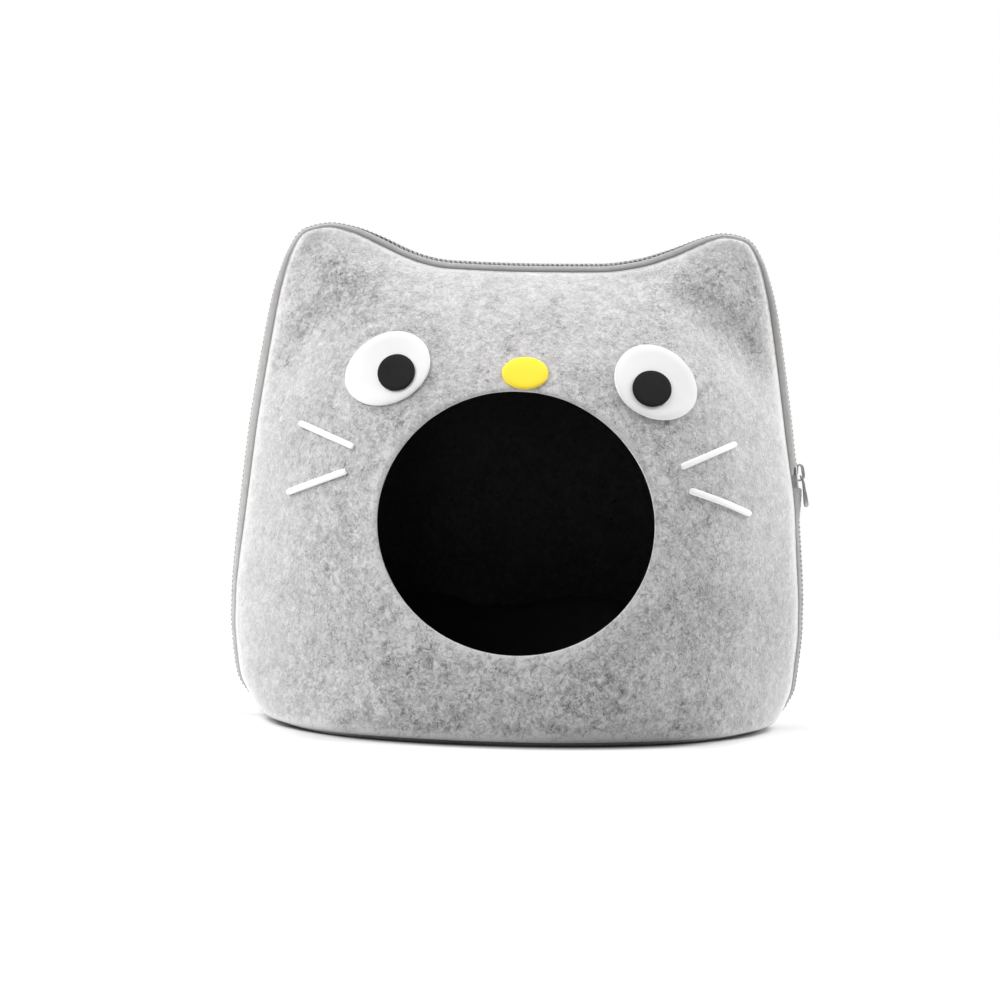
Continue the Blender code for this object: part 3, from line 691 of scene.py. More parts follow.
def tape_section(facing):
    """Section of one tape: from beside the teeth, over a soft bend, to behind the felt."""

    def section(reach, run):
        reach = max(reach, LEAST_REACH)
        cover = covered(run)
        out = swelling(run) + cover * NOTCH * math.cos(2 * math.pi * run / COIL_PITCH)
        open_lip = 0.95 * MM + 1.6 * MM * saddle(run)
        lip = open_lip + (0.35 * MM - open_lip) * cover
        beside = 2.5 * MM + (0.5 * MM + parting(run) - 2.5 * MM) * cover
        shoulder = beside + (TAPE_BEHIND - beside) * 0.42
        outer = [
            (lip + 0.45 * MM - out, beside - 0.25 * MM),
            (lip + 0.1 * MM - out, beside),
            (lip - out, beside + 0.35 * MM),
            (lip + 0.18 * MM - 0.95 * out, shoulder - 0.3 * MM),
            (lip + 0.16 * (reach - lip) - 0.8 * out, shoulder + 0.35 * MM),
            (lip + 0.5 * (reach - lip) - 0.4 * out, TAPE_BEHIND - 0.45 * MM),
            (0.88 * reach, TAPE_BEHIND - 0.05 * MM),
            (reach + 0.8 * MM, TAPE_BEHIND),
            (reach + TAPE_FLANGE, TAPE_BEHIND),
        ]
        inner = [(inset + 0.25 * TAPE, y - TAPE) for inset, y in outer[:3:-1]]
        inner += [(lip + 1.1 * MM - out, beside + 0.1 * MM)]
        return [(inset, facing * max(y, 0.15 * MM)) for inset, y in outer + inner]

    return section


# One loop of the coil: (inset mm, y mm towards the row's own side, along mm)
COIL_LOOP = [
    (3.0, 2.1, -0.30), (1.9, 2.3, -0.20), (0.95, 2.2, -0.12), (0.48, 1.6, -0.06),
    (0.42, 0.6, 0.0), (0.48, -0.45, 0.05), (0.95, -1.05, 0.12), (1.9, -1.0, 0.2),
]


def coil(name, facing, materials):
    """One row of the zip's coil: a run of bent wire loops that mesh with the other row."""
    mesh = bmesh.new()
    count = int((ZIP.length - 2 * COIL_MARGIN) / COIL_PITCH)
    offset = COIL_MARGIN + (0.5 * COIL_PITCH if facing == BACK else 0.0)
    runs = offset + COIL_PITCH * np.arange(count)
    point, inward, _ = ZIP.at(runs)
    own = Vector((0.0, facing, 0.0))
    for i, run in enumerate(runs):
        into = Vector((inward[i][0], 0.0, inward[i][1]))
        along = Vector((-into.z, 0.0, into.x))
        base = Vector((point[i][0], 0.0, point[i][1])) + own * parting(run)
        base -= into * (swelling(run) * (1 - covered(run)))
        if under_slider(run):
            base += into * COIL_SINK
        if facing == BACK:
            base += into * BACK_ROW_SINK
        spots = [base + (into * a + own * b + along * c) * MM for a, b, c in COIL_LOOP]
        if spots[3].z < COIL_LOWEST:
            continue
        rings = []
        for k, spot in enumerate(spots):
            ahead = (spots[min(k + 1, len(spots) - 1)] - spots[max(k - 1, 0)]).normalized()
            across = ahead.cross(along).normalized()
            ring = []
            for s in range(COIL_SIDES):
                angle = 2 * math.pi * s / COIL_SIDES
                around = along * (COIL_FLAT * math.cos(angle)) + across * math.sin(angle)
                ring.append(mesh.verts.new(spot + around * COIL_WIRE))
            rings.append(ring)
        bridge(mesh, rings)
    bmesh.ops.recalc_face_normals(mesh, faces=mesh.faces)
    return add_piece(name, mesh, materials)


def cord_section(reach, run):
    """Section of the cord that fills the coil."""
    wide, top = CORD_SIZE_UNDER_SLIDER
    if not under_slider(run):
        wide, top = CORD_SIZE[0] + parting(run), CORD_SIZE[1]
    top -= swelling(run) * (1 - covered(run))
    low = top + CORD_THICK
    return [(top, wide), (top, -wide), (low, -wide), (low, wide)]


def add_zip(looks):
    """The two tapes, the two rows of the coil with their cord, and the slider with its pull."""
    count = round(ZIP.length / TAPE_STEP)
    for name, node, facing, shell in (
        ("front_tape", "zip_tape_front", FRONT, "front_shell"),
        ("back_tape", "zip_tape_back", BACK, "back_shell"),
    ):
        tape = sweep(name, count, tape_section(facing), [looks["tape"]])
        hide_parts(node)
    cord = sweep("coil_cord", count // 3, cord_section, [looks["cord"]])
    for name, facing in (("front_coil", FRONT), ("back_coil", BACK)):
        row = coil(name, facing, [looks["teeth"]])
        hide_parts("zip_chain")
    for name, node, mesh in (
        ("slider_body", "zip_slider", slider_body()),
        ("slider_bail", "zip_slider", slider_bail()),
        ("pull_tab", "zip_pull", pull_tab()),
    ):
        metal = add_piece(name, mesh, [looks["metal"]], smooth_angle=35)
        bevel = metal.modifiers.new("soft edges", "BEVEL")
        bevel.width = METAL_EDGE
        bevel.segments = 2
        bevel.angle_limit = math.radians(40)
        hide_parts(node)


def at_slider(up, out, y):
    """A point at the slider: up along the zip, out from its crest and sideways, in mm."""
    return SLIDER_AT + (SLIDER_UP * up + SLIDER_OUT * out + Vector((0.0, 1.0, 0.0)) * y) * MM


# The slider's body from its upper end to its lower one: (up mm, half width mm, how far its sides
# reach down beside the teeth mm)
BODY_STATIONS = [
    (8.2, 2.6, 0.8), (7.6, 3.3, 0.9), (3.0, 4.4, 1.0), (2.2, 4.7, 1.1), (1.8, 4.8, 2.8),
    (1.2, 4.9, 3.6), (-7.0, 5.3, 3.8), (-7.6, 5.3, 3.2), (-7.9, 5.2, 2.2),
]


def slider_body():
    """The slider's plate, whose sides hug the zip in its lower two thirds."""
    rings = []
    for up, wide, side in BODY_STATIONS:
        # The plate and its sides are one bent sheet, open towards the teeth. One half of it, from
        # its outer face round the side's lower edge to its inner face: (out mm, y mm)
        half = [(0.6, 0.4 * wide), (0.5, wide - 1.3), (0.2, wide - 0.45), (-0.3, wide)]
        half += [(-side, wide), (-side, wide - 0.8), (-0.7, wide - 0.85), (-0.5, wide - 1.4)]
        half += [(-0.45, 0.4 * wide)]
        section = half + [(out, -y) for out, y in half[::-1]]
        rings.append([at_slider(up, out, y) for out, y in section])
    return tube(rings)


BAIL_HALF_WIDTH = 1.45  # mm
BAIL_FOOT = 0.6  # mm that its feet are wider on each side
# One half of its section: (share of half the thickness, share of the half width)
BAIL_CORNERS = [(1.0, 0.62), (0.62, 1.0), (-0.62, 1.0), (-1.0, 0.62)]
# The bail's middle line (up mm, out mm) and its thickness in mm
BAIL_LINE = [
    (2.4, 0.6, 1.2), (5.0, 0.7, 1.2), (7.2, 0.9, 1.2), (8.4, 1.7, 1.2), (8.8, 2.8, 1.3),
    (8.2, 3.8, 1.6), (6.6, 4.5, 2.0), (4.6, 4.75, 2.2), (2.2, 4.9, 2.3), (0.4, 4.9, 2.1),
    (-1.0, 4.4, 1.7), (-1.9, 3.5, 1.4), (-2.2, 2.4, 1.3), (-2.2, 0.5, 1.3),
]


def slider_bail():
    """The bail: a flat bar bent over the slider's plate, wider at its feet."""
    rings = []
    last = len(BAIL_LINE) - 1
    corners = BAIL_CORNERS + [(-a, -b) for a, b in BAIL_CORNERS]
    for i, (up, out, thick) in enumerate(BAIL_LINE):
        ahead, behind = BAIL_LINE[min(i + 1, last)], BAIL_LINE[max(i - 1, 0)]
        along = Vector((ahead[0] - behind[0], ahead[1] - behind[1])).normalized()
        side = Vector((-along.y, along.x)) * (thick / 2)
        wide = BAIL_HALF_WIDTH + BAIL_FOOT * max(1 - i / 2, 1 - (last - i) / 2, 0.0)
        rings.append([at_slider(up + side.x * a, out + side.y * a, wide * b) for a, b in corners])
    return tube(rings)


# The pull hangs from the bail: (up mm, out mm, thickness mm, half width mm, half width of its
# slot mm)
PULL_LINE = [
    (1.3, 2.7, 0.7, 1.9, 0.0), (1.1, 2.75, 0.9, 2.5, 0.0), (0.2, 3.0, 1.1, 2.9, 0.0),
    (-0.1, 3.1, 1.15, 3.0, 1.8), (-1.9, 3.9, 1.25, 3.1, 1.9), (-3.6, 4.4, 1.35, 3.2, 1.9),
    (-5.2, 4.5, 1.4, 3.2, 1.2), (-5.6, 4.55, 1.4, 3.2, 0.0), (-8.7, 4.73, 1.6, 3.3, 0.0),
    (-12.0, 5.0, 2.1, 3.4, 0.0), (-16.0, 5.2, 2.6, 3.7, 0.0), (-19.2, 5.33, 2.8, 3.6, 0.0),
    (-20.6, 5.3, 2.4, 3.0, 0.0), (-21.3, 5.25, 1.5, 2.2, 0.0),
]


def pull_tab():
    """The pull: a tab, thicker towards its lower end, with a slot for the bail."""
    mesh = bmesh.new()
    rows = []
    for up, out, thick, wide, slot in PULL_LINE:
        outer, inner = (
            [mesh.verts.new(at_slider(up, out + half, y)) for y in (-wide, -slot, slot, wide)]
            for half in (thick / 2, -thick / 2)
        )
        rows.append((outer, inner, slot))
    for (outer, inner, slot), (next_outer, next_inner, next_slot) in zip(rows, rows[1:]):
        is_open = slot and next_slot
        for here, there in ((outer, next_outer), (inner, next_inner)):
            for k in (0, 2) if is_open else (0, 1, 2):
                mesh.faces.new((here[k], here[k + 1], there[k + 1], there[k]))
        for k in (0, 1, 2, 3) if is_open else (0, 3):
            mesh.faces.new((outer[k], next_outer[k], next_inner[k], inner[k]))
    for outer, inner, _ in (rows[0], rows[-1]):
        for k in range(3):
            mesh.faces.new((outer[k], outer[k + 1], inner[k + 1], inner[k]))
    # The slot's two ends
    slotted = [row for row in rows if row[2]]
    for outer, inner, _ in (slotted[0], slotted[-1]):
        mesh.faces.new((outer[1], outer[2], inner[2], inner[1]))
    bmesh.ops.remove_doubles(mesh, verts=mesh.verts, dist=0.001 * MM)
    bmesh.ops.recalc_face_normals(mesh, faces=mesh.faces)
    return mesh


# ---- face


def egg_point(row, angle, inset, share):
    """A point (x, z) on an egg's outline moved in by inset, at a share of the way out to it."""
    x, z, length, width, taper, turn = row
    turn = math.radians(turn)
    along = (length * CM - inset) * math.cos(angle)
    across = (width * CM - inset) * math.sin(angle) * (1 + taper * math.cos(angle))
    right = along * math.cos(turn) - across * math.sin(turn)
    up = along * math.sin(turn) + across * math.cos(turn)
    return x * CM + right * share, z * CM + up * share


def egg_patch(name, row, base, thick, material, points):
    """A thin egg-shaped piece of felt on the front wall, with softly rounded edges."""
    edge = 0.35 * thick
    # (inset from the outline, share of the way out, height): up the side, over the edge and in
    rows = [(0.15 * thick, 1.0, 0.0), (0.0, 1.0, 0.2), (0.0, 1.0, 0.62)]
    rows += [(0.3 * edge, 1.0, 0.86), (edge, 1.0, 1.0)]
    rows += [(edge, share, 1.0) for share in (0.8, 0.55, 0.3, 0.12)]
    rings = []
    for inset, share, height in rows:
        spots = [egg_point(row, 2 * math.pi * i / points, inset, share) for i in range(points)]
        rings.append([on_front(x, z, base + thick * height) for x, z in spots])
    return add_piece(name, tube(rings), [material])


def whisker(name, row, material):
    """A narrow strip of felt on the front wall."""
    x0, z0, x1, z1 = (value * CM for value in row[:4])
    bend = row[4] * MM
    length = math.dist((x0, z0), (x1, z1))
    ux, uz = (x1 - x0) / length, (z1 - z0) / length
    section = WHISKER_SECTION + [(-a, h) for a, h in WHISKER_SECTION[::-1]]
    rings = []
    for i in range(WHISKER_STEPS + 1):
        share = i / WHISKER_STEPS
        run = length * share
        sag = bend * math.sin(math.pi * share)
        end = min(min(run, length - run) / WHISKER_END, 1.0)
        half = WHISKER_HALF_WIDTH * (0.72 + 0.28 * math.sqrt(1 - (1 - end) ** 2))
        ring = []
        for across, height in section:
            offset = across * half + sag
            x, z = x0 + ux * run - uz * offset, z0 + uz * run + ux * offset
            ring.append(on_front(x, z, PATCH_ON_FELT + WHISKER_THICK * height))
        rings.append(ring)
    return add_piece(name, tube(rings), [material], smooth_angle=60)


def add_face(looks):
    """The eyes with their pupils, the nose and the whiskers."""
    for name, (node, kind, row) in PATCHES.items():
        colour, base, thick, points, flat, area = PATCH_KINDS[kind]
        piece = egg_patch(name, row, base, thick, looks[colour], points)
        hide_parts(node)
    for i, row in enumerate(WHISKERS, 1):
        piece = whisker(f"whisker_strip_{i}", row, looks["white"])
        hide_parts(f"whisker_{i}")


# ---- mat


def room(angle, z):
    """Distance from the upright axis, in a direction of the plan, that keeps clear of the felt."""
    across, deep = math.cos(angle), abs(math.sin(angle))
    low, high = 0.0, float(OUTLINES[1].half_width(z)) - FELT - MAT_CLEAR
    for _ in range(24):
        reach = (low + high) / 2
        x = reach * across
        behind = (float(wall_depth(x, z)) - reach * deep) * abs(outward_normal(x, z)[1])
        if behind > FELT + MAT_CLEAR:
            low = reach
        else:
            high = reach
    return low


def mat_column(angle):
    """Places (distance from the middle, z) on the mat in one direction, from its underside over
    its edge to near its middle."""
    base = FELT + MAT_LIFT
    rise_x, rise_z = np.array(MAT_EDGE_RISE).T
    back = (1 + math.sin(angle)) / 2
    top = MAT_EDGE_FRONT + (MAT_EDGE_BACK - MAT_EDGE_FRONT) * back
    # The edge is a little uneven all round, and at the back it follows the photo.
    top += 2.5 * MM * math.sin(3 * angle + 0.6) + 1.5 * MM * math.sin(7 * angle)
    edge_x = room(angle, MAT_EDGE_BACK) * math.cos(angle)
    top += back * back * float(np.interp(edge_x, rise_x * CM, rise_z * MM))
    foot = room(angle, base)
    column = [(0.55 * foot, base), (foot - 4 * MM, base)]
    for share in (0.1, 0.3, 0.5, 0.7, 0.85):
        z = base + (top - base) * share
        column.append((room(angle, z), z))
    outer = room(angle, top)
    for turn in np.radians((20, 45, 70, 95, 120)):
        reach = outer - MAT_EDGE_RADIUS * (1 - math.cos(turn))
        column.append((reach, top - MAT_EDGE_RADIUS * (1 - math.sin(turn))))
    start_reach, start_z = column[-1]
    for step in range(1, MAT_ROWS + 1):
        share = step / (MAT_ROWS + 1)
        slope = 0.5 + 0.5 * math.cos(math.pi * min(share / MAT_SLOPE, 1.0))
        column.append((start_reach * (1 - share), MAT_MIDDLE + (start_z - MAT_MIDDLE) * slope))
    return column


def add_mat(looks):
    """The padded mat: a dish whose edge rides up the walls, with soft creases."""
    mesh = bmesh.new()
    grid = []
    for i in range(MAT_COLUMNS):
        angle = 2 * math.pi * i / MAT_COLUMNS
        across, deep = math.cos(angle), math.sin(angle)
        spots = [(reach * across, reach * deep, z) for reach, z in mat_column(angle)]
        grid.append([mesh.verts.new(spot) for spot in spots])
    under = mesh.verts.new((0.0, 0.0, FELT + MAT_LIFT))
    over = mesh.verts.new((0.0, 0.0, MAT_MIDDLE))
    for here, there in zip(grid, grid[1:] + grid[:1]):
        mesh.faces.new((under, here[0], there[0]))
        for row in range(len(here) - 1):
            mesh.faces.new((here[row], here[row + 1], there[row + 1], there[row]))
        mesh.faces.new((here[-1], over, there[-1]))
    bmesh.ops.recalc_face_normals(mesh, faces=mesh.faces)
    for vert in mesh.verts:
        x, y, z = vert.co
        if vert.normal.z > 0.2:
            vert.co.z += mat_creases(x, y)
    piece = add_piece("mat_pad", mesh, [looks["mat"]])
    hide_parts("mat")


# Creases in the mat: (start x cm, start y cm, end x cm, end y cm, half width mm, depth mm)
MAT_CREASES = [
    (-1.0, -9.5, 3.5, -6.0, 7.0, -2.6), (3.2, -9.8, 1.0, -5.0, 6.0, -2.2),
    (-8.0, -6.0, -3.0, -1.0, 9.0, -1.8), (6.0, -4.0, 9.5, 1.5, 8.0, -2.0),
    (-2.0, 4.0, 5.0, 6.5, 10.0, -1.6), (1.5, -9.6, 5.5, -8.0, 6.0, 2.4),
]


def mat_creases(x, y):
    """Height of the mat's upper side over its smooth form."""
    height = 1.4 * MM * noise.noise(Vector((x, y, 0.0)) / (35 * MM))
    for x0, y0, x1, y1, half, depth in MAT_CREASES:
        start, end = Vector((x0, y0)) * CM, Vector((x1, y1)) * CM
        along = end - start
        share = (Vector((x, y)) - start).dot(along) / along.length_squared
        near = start + along * min(max(share, 0.0), 1.0)
        distance = (Vector((x, y)) - near).length / (half * MM)
        height += depth * MM * math.exp(-(distance**2))
    return height


# ---- materials


class Looks:
    """A material's node tree with short ways to add nodes."""

    def __init__(self, name):
        self.material = bpy.data.materials.new(name)
        self.material.use_nodes = True
        self.tree = self.material.node_tree
        self.shader = self.tree.nodes["Principled BSDF"]
        self.place = self.tree.nodes.new("ShaderNodeTexCoord").outputs["Object"]
        self.x, self.y, self.z = self.node("ShaderNodeSeparateXYZ", {0: self.place}).outputs

    def link(self, source, target):
        """Set an input to a number or a colour, or link a node's output to it."""
        if isinstance(source, (int, float, tuple)):
            target.default_value = source
        else:
            self.tree.links.new(source, target)

    def node(self, kind, inputs, **settings):
        """A new node with its settings, and a value or a link for each of the inputs."""
        node = self.tree.nodes.new(kind)
        for name, value in settings.items():
            setattr(node, name, value)
        for key, source in inputs.items():
            self.link(source, node.inputs[key])
        return node

    def math(self, operation, a, b=0.0, c=0.0, clamp=False):
        inputs = {0: a, 1: b, 2: c}
        return self.node("ShaderNodeMath", inputs, operation=operation, use_clamp=clamp).outputs[0]

    def minus(self, a, b):
        return self.math("SUBTRACT", a, b)

    def times(self, a, b):
        return self.math("MULTIPLY", a, b)

    def times_plus(self, a, b, c, clamp=False):
        """a times b, plus c."""
        return self.math("MULTIPLY_ADD", a, b, c, clamp)

    def attribute(self, name, output="Fac"):
        return self.node("ShaderNodeAttribute", {}, attribute_name=name).outputs[output]

    def noise(self, size, detail=2.0, roughness=0.5, distortion=0.0, offset=None):
        """Noise of a feature size in metres, about 0 to 1 with its middle at 0.5."""
        place = self.place
        if offset is not None:
            inputs = {"Location": offset, "Vector": place}
            place = self.node("ShaderNodeMapping", inputs).outputs[0]
        inputs = {"Scale": 1.0 / size, "Detail": detail, "Roughness": roughness}
        inputs.update({"Distortion": distortion, "Vector": place})
        return self.node("ShaderNodeTexNoise", inputs).outputs["Fac"]

    def span(self, value, low, high, to_low=0.0, to_high=1.0, smooth=False):
        """A value's place between low and high, as a number between to_low and to_high."""
        inputs = {"Value": value, "From Min": low, "From Max": high}
        inputs.update({"To Min": to_low, "To Max": to_high})
        ease = "SMOOTHSTEP" if smooth else "LINEAR"
        return self.node("ShaderNodeMapRange", inputs, interpolation_type=ease).outputs["Result"]

    def ridges(self, size, width, distortion, offset):
        """Thin curly lines, 1 on a line and 0 between the lines."""
        field = self.noise(size, 1.0, 0.4, distortion, offset)
        off_line = self.math("ABSOLUTE", self.minus(field, 0.5))
        return self.span(off_line, 0.0, width, 1.0, 0.0, smooth=True)

    def mix(self, share, low, high):
        """A colour between two others, each a node's output or (red, green, blue)."""
        low, high = ((*c, 1.0) if isinstance(c, tuple) else c for c in (low, high))
        inputs = {0: share, 6: low, 7: high}
        return self.node("ShaderNodeMix", inputs, data_type="RGBA").outputs[2]

    def bump(self, height, distance, strength):
        inputs = {"Strength": strength, "Distance": distance, "Height": height}
        node = self.node("ShaderNodeBump", inputs)
        self.link(node.outputs["Normal"], self.shader.inputs["Normal"])

    def finish(self, colour, roughness, metallic=0.0, sheen=0.0, specular=0.3):
        """The material, with its colour and its finish."""
        self.link(colour, self.shader.inputs["Base Color"])
        self.link(roughness, self.shader.inputs["Roughness"])
        self.shader.inputs["Metallic"].default_value = metallic
        self.shader.inputs["Sheen Weight"].default_value = sheen
        self.shader.inputs["Sheen Roughness"].default_value = 0.5
        self.shader.inputs["Specular IOR Level"].default_value = specular
        return self.material


def grey(value, tint=(1.0, 1.0, 1.0)):
    """A grey with a slight tint."""
    return tuple(value * t for t in tint)


# Heights and places, in metres, between which the tone of the felt, the tapes and the teeth
# changes; most of these are painted light and shade
EAR_TIP_Z = (0.318, 0.338)
EAR_TIP_LIGHT_X = (0.12, 0.14)
FOOT_LIGHT_Z = (0.002, 0.010)  # just above the floor, where painted light offsets the shade of the rounded foot
RIGHT_LIGHT_X = (0.07, 0.13)  # the part beside the right eye and below it, where light and shade are painted
RIGHT_LIGHT_Z = (0.09, 0.25)
EYE_SHADE_Z = (0.21, 0.27)  # from the whiskers to the eyes, over which painted shade darkens the white felt
INSIDE_SHADE_Z = (0.07, 0.235)  # of the painted shade on the felt's inner side, as seen through the entrance
INSIDE_SHADE_X = (-0.09, -0.035)
MAT_SHADE_X = (-0.06, 0.07)
TAPE_SHADE_Z = (0.24, 0.32)
TEETH_LIGHT_Z = (0.305, 0.320)
TEETH_SHADE_Z = (0.326, 0.340)


def felt_marks(look, ear, tip):
    """The felt's fibres and blotches about 0, and its dark fibres, pale fibres and grain."""
    dark_fibre = look.ridges(6.0 * MM, 0.05, 2.2, (0.0, 0.0, 0.0))
    dark_there = look.span(look.noise(13 * MM, 2.0, 0.6, 0.0, (0.3, 0.1, 0.2)), 0.44, 0.66)
    pale_fibre = look.ridges(5.0 * MM, 0.055, 2.4, (0.4, 0.2, 0.7))
    grain = look.noise(3.3 * MM, 2.0, 0.62, 1.2, (0.9, 0.5, 0.1))
    tuft = look.noise(9.0 * MM, 2.0, 0.6, 0.8, (0.6, 0.3, 0.5))
    cloud = look.noise(40 * MM, 2.0, 0.6, 0.3, (0.2, 0.8, 0.4))
    marks = 0.06
    for field, strength in ((grain, 1.75), (tuft, 0.95), (cloud, 0.55)):
        marks = look.times_plus(look.minus(field, 0.5), strength, marks)
    # There are more dark fibres on the ears and fewer at their tips.
    often = look.times_plus(ear, 0.3, dark_there)
    often = look.times_plus(tip, -0.7, often, clamp=True)
    marks = look.times_plus(look.times(dark_fibre, often), -0.52, marks)
    marks = look.times_plus(pale_fibre, 0.16, marks)
    return marks, dark_fibre, pale_fibre, grain


def felt_look(name, dark, light, contrast=0.97, sheen=0.5, rim_highlight=0.0, under_shade=None, hollow=False):
    """Needle felt: curly dark and pale fibres over cloudy blotches, with a painted highlight along
    its edges and painted light and shade in places.
    """
    look = Looks(name)
    ear = look.attribute("ear")
    tip = look.span(look.z, *EAR_TIP_Z)
    marks, dark_fibre, pale_fibre, grain = felt_marks(look, ear, tip)
    # The marks are weaker where the wall turns away and at the ears' tips.
    calm = look.span(look.attribute("steep"), 0.0, 0.65, contrast, 0.43 * contrast)
    calm = look.times(calm, look.times_plus(tip, -0.35, 1.0))
    # Painted light and shade on the right: the felt is painted a little darker low down and on the
    # ear, and paler beside the eye.
    lift = look.times_plus(ear, -0.19, look.span(look.z, *RIGHT_LIGHT_Z, -0.13, 0.15))
    level = look.times_plus(lift, look.span(look.x, *RIGHT_LIGHT_X, smooth=True), 0.54)
    # Painted light: it is painted paler at the outer tips of the ears and a little darker at their
    # inner side, and paler just above the floor, where the rounded foot is in shade.
    beside = look.math("ABSOLUTE", look.x)
    level = look.times_plus(tip, look.span(beside, *EAR_TIP_LIGHT_X, -0.07, 0.19), level)
    level = look.math("ADD", level, look.span(look.z, *FOOT_LIGHT_Z, 0.40, 0.0))
    tone = look.times_plus(marks, calm, level, clamp=True)
    # Painted highlight along the felt's edges and round the entrance.
    if rim_highlight:
        tone = look.times_plus(look.attribute("rim_highlight"), rim_highlight, tone, clamp=True)
    colour = look.mix(tone, dark, light)
    # Painted shade: the felt that turns under the cave, and its underside, is painted dark.
    if under_shade:
        share = look.span(look.attribute("under"), -0.15, 0.15, smooth=True)
        colour = look.mix(share, colour, under_shade)
    if hollow:
        # Painted shade: inside, the felt is painted darker towards the top and the left, as seen
        # through the entrance.
        high = look.span(look.z, *INSIDE_SHADE_Z, 0.0, 0.84)
        left = look.span(look.x, *INSIDE_SHADE_X, 0.5, 0.0, smooth=True)
        lit = look.times(look.minus(1.0, high), look.minus(1.0, left))
        colour = look.mix(lit, grey(0.004), colour)
    relief = look.times_plus(pale_fibre, 0.5, look.times(grain, 0.9))
    relief = look.times_plus(dark_fibre, -0.3, relief)
    look.bump(look.times(relief, calm), 0.5 * MM, 0.5)
    return look.finish(colour, 0.95, sheen=sheen, specular=0.1)


def smooth_felt_look(name, colour, shade, sheen=0.25, shaded_above=None):
    """Thin smooth craft felt of one colour, or of another, darker one from the eyes upwards:
    painted shade.
    """
    look = Looks(name)
    fine = look.noise(0.7 * MM, 2.0, 0.6, 0.8)
    cloud = look.noise(9 * MM, 2.0, 0.5, 0.0, (0.1, 0.6, 0.3))
    tone = look.times_plus(fine, 0.6, look.times(cloud, 0.4))
    colour = look.mix(look.span(tone, 0.3, 0.7), shade, colour)
    # Painted shade: the felt is painted darker from the eyes upwards.
    if shaded_above:
        colour = look.mix(look.span(look.z, *EYE_SHADE_Z), colour, shaded_above)
    look.bump(fine, 0.15 * MM, 0.4)
    return look.finish(colour, 0.9, sheen=sheen, specular=0.2)


def tape_look():
    """Twill: slanting ribs along the tape's own directions, with painted shade next to the felt and
    where it faces up.
    """
    look = Looks("zip tape")
    weave = look.node("ShaderNodeSeparateXYZ", {0: look.attribute("weave", "Vector")})
    along, across, to_felt = weave.outputs
    pitch = 0.8 * MM
    rib = look.math("SINE", look.times(look.math("ADD", along, across), 2 * math.pi / pitch))
    cross = look.math("SINE", look.times(along, 2 * math.pi / (0.6 * pitch)))
    twill = look.math("ADD", look.times_plus(rib, 0.32, look.times(cross, 0.14)), 0.5)
    tone = look.noise(5 * MM, 2.0, 0.5, 0.0, (0.5, 0.5, 0.5))
    share = look.span(look.times_plus(twill, 0.5, look.times(tone, 0.5)), 0.3, 0.7)
    dark, light = grey(0.43, (1.0, 0.985, 0.96)), grey(0.57, (1.0, 0.99, 0.97))
    colour = look.mix(share, dark, light)
    # Painted shade: where it faces up, the tape is painted a little darker.
    colour = look.mix(look.span(look.z, *TAPE_SHADE_Z, 0.0, 0.45), colour, grey(0.26))
    # Painted shadow where the felt's edge overhangs the tape.
    shade = look.span(to_felt, 0.6, 1.0, 0.0, 0.6, smooth=True)
    look.bump(twill, 0.12 * MM, 0.5)
    return look.finish(look.mix(shade, colour, grey(0.12)), 0.75, sheen=0.2, specular=0.25)


def teeth_look(name, dark, light):
    """Grey nylon, with painted light where the zip dips between the ears and painted shade on the
    ears.
    """
    look = Looks(name)
    colour = look.mix(look.noise(3 * MM, 1.0), dark, light)
    # Painted light between the ears, where the teeth lie in shade.
    colour = look.mix(look.span(look.z, *TEETH_LIGHT_Z, 0.0, 0.9), colour, grey(0.60))
    # Painted shade on the ears, where the light falls strongly.
    colour = look.mix(look.span(look.z, *TEETH_SHADE_Z, 0.0, 0.9), colour, grey(0.14))
    return look.finish(colour, 0.5)


def mat_look():
    """Dark cloth, with painted shade on its left, as seen in the entrance."""
    look = Looks("mat")
    fine = look.noise(1.2 * MM, 2.0, 0.6, 0.4)
    tone = look.noise(14 * MM, 2.0, 0.5)
    share = look.times_plus(fine, 0.4, look.times(tone, 0.6))
    # Painted shade: the mat is painted darker on the left.
    lit = look.span(look.x, *MAT_SHADE_X, 0.2, 1.0, smooth=True)
    colour = look.mix(lit, grey(0.02), look.mix(share, grey(0.06), grey(0.16)))
    look.bump(fine, 0.2 * MM, 0.4)
    return look.finish(colour, 0.85, sheen=0.04, specular=0.15)


def metal_look():
    """Worn grey metal."""
    look = Looks("slider metal")
    wear = look.noise(2.5 * MM, 3.0, 0.6, 0.4)
    colour = look.mix(wear, grey(0.36), grey(0.50, (1.0, 0.99, 0.97)))
    look.bump(wear, 0.05 * MM, 0.3)
    roughness = look.span(wear, 0.3, 0.7, 0.28, 0.42)
    return look.finish(colour, roughness, metallic=0.45, specular=0.5)


FELT_TINT = (1.010, 0.992, 1.002)
# A dark colour painted as the shade where the felt turns under the cave
UNDER_SHADE_COLOUR = grey(0.15, (1.0, 0.95, 0.89))
# The third white is the painted shade of the white felt from the eyes upwards.
WHITE, WHITE_SHADE, WHITE_SHADED_ABOVE = grey(0.89), grey(0.85), grey(0.68)
BLACK, BLACK_SHADE = (0.013, 0.013, 0.014), (0.006, 0.006, 0.007)
YELLOW, YELLOW_SHADE = (0.95, 0.74, 0.05), (0.90, 0.68, 0.04)


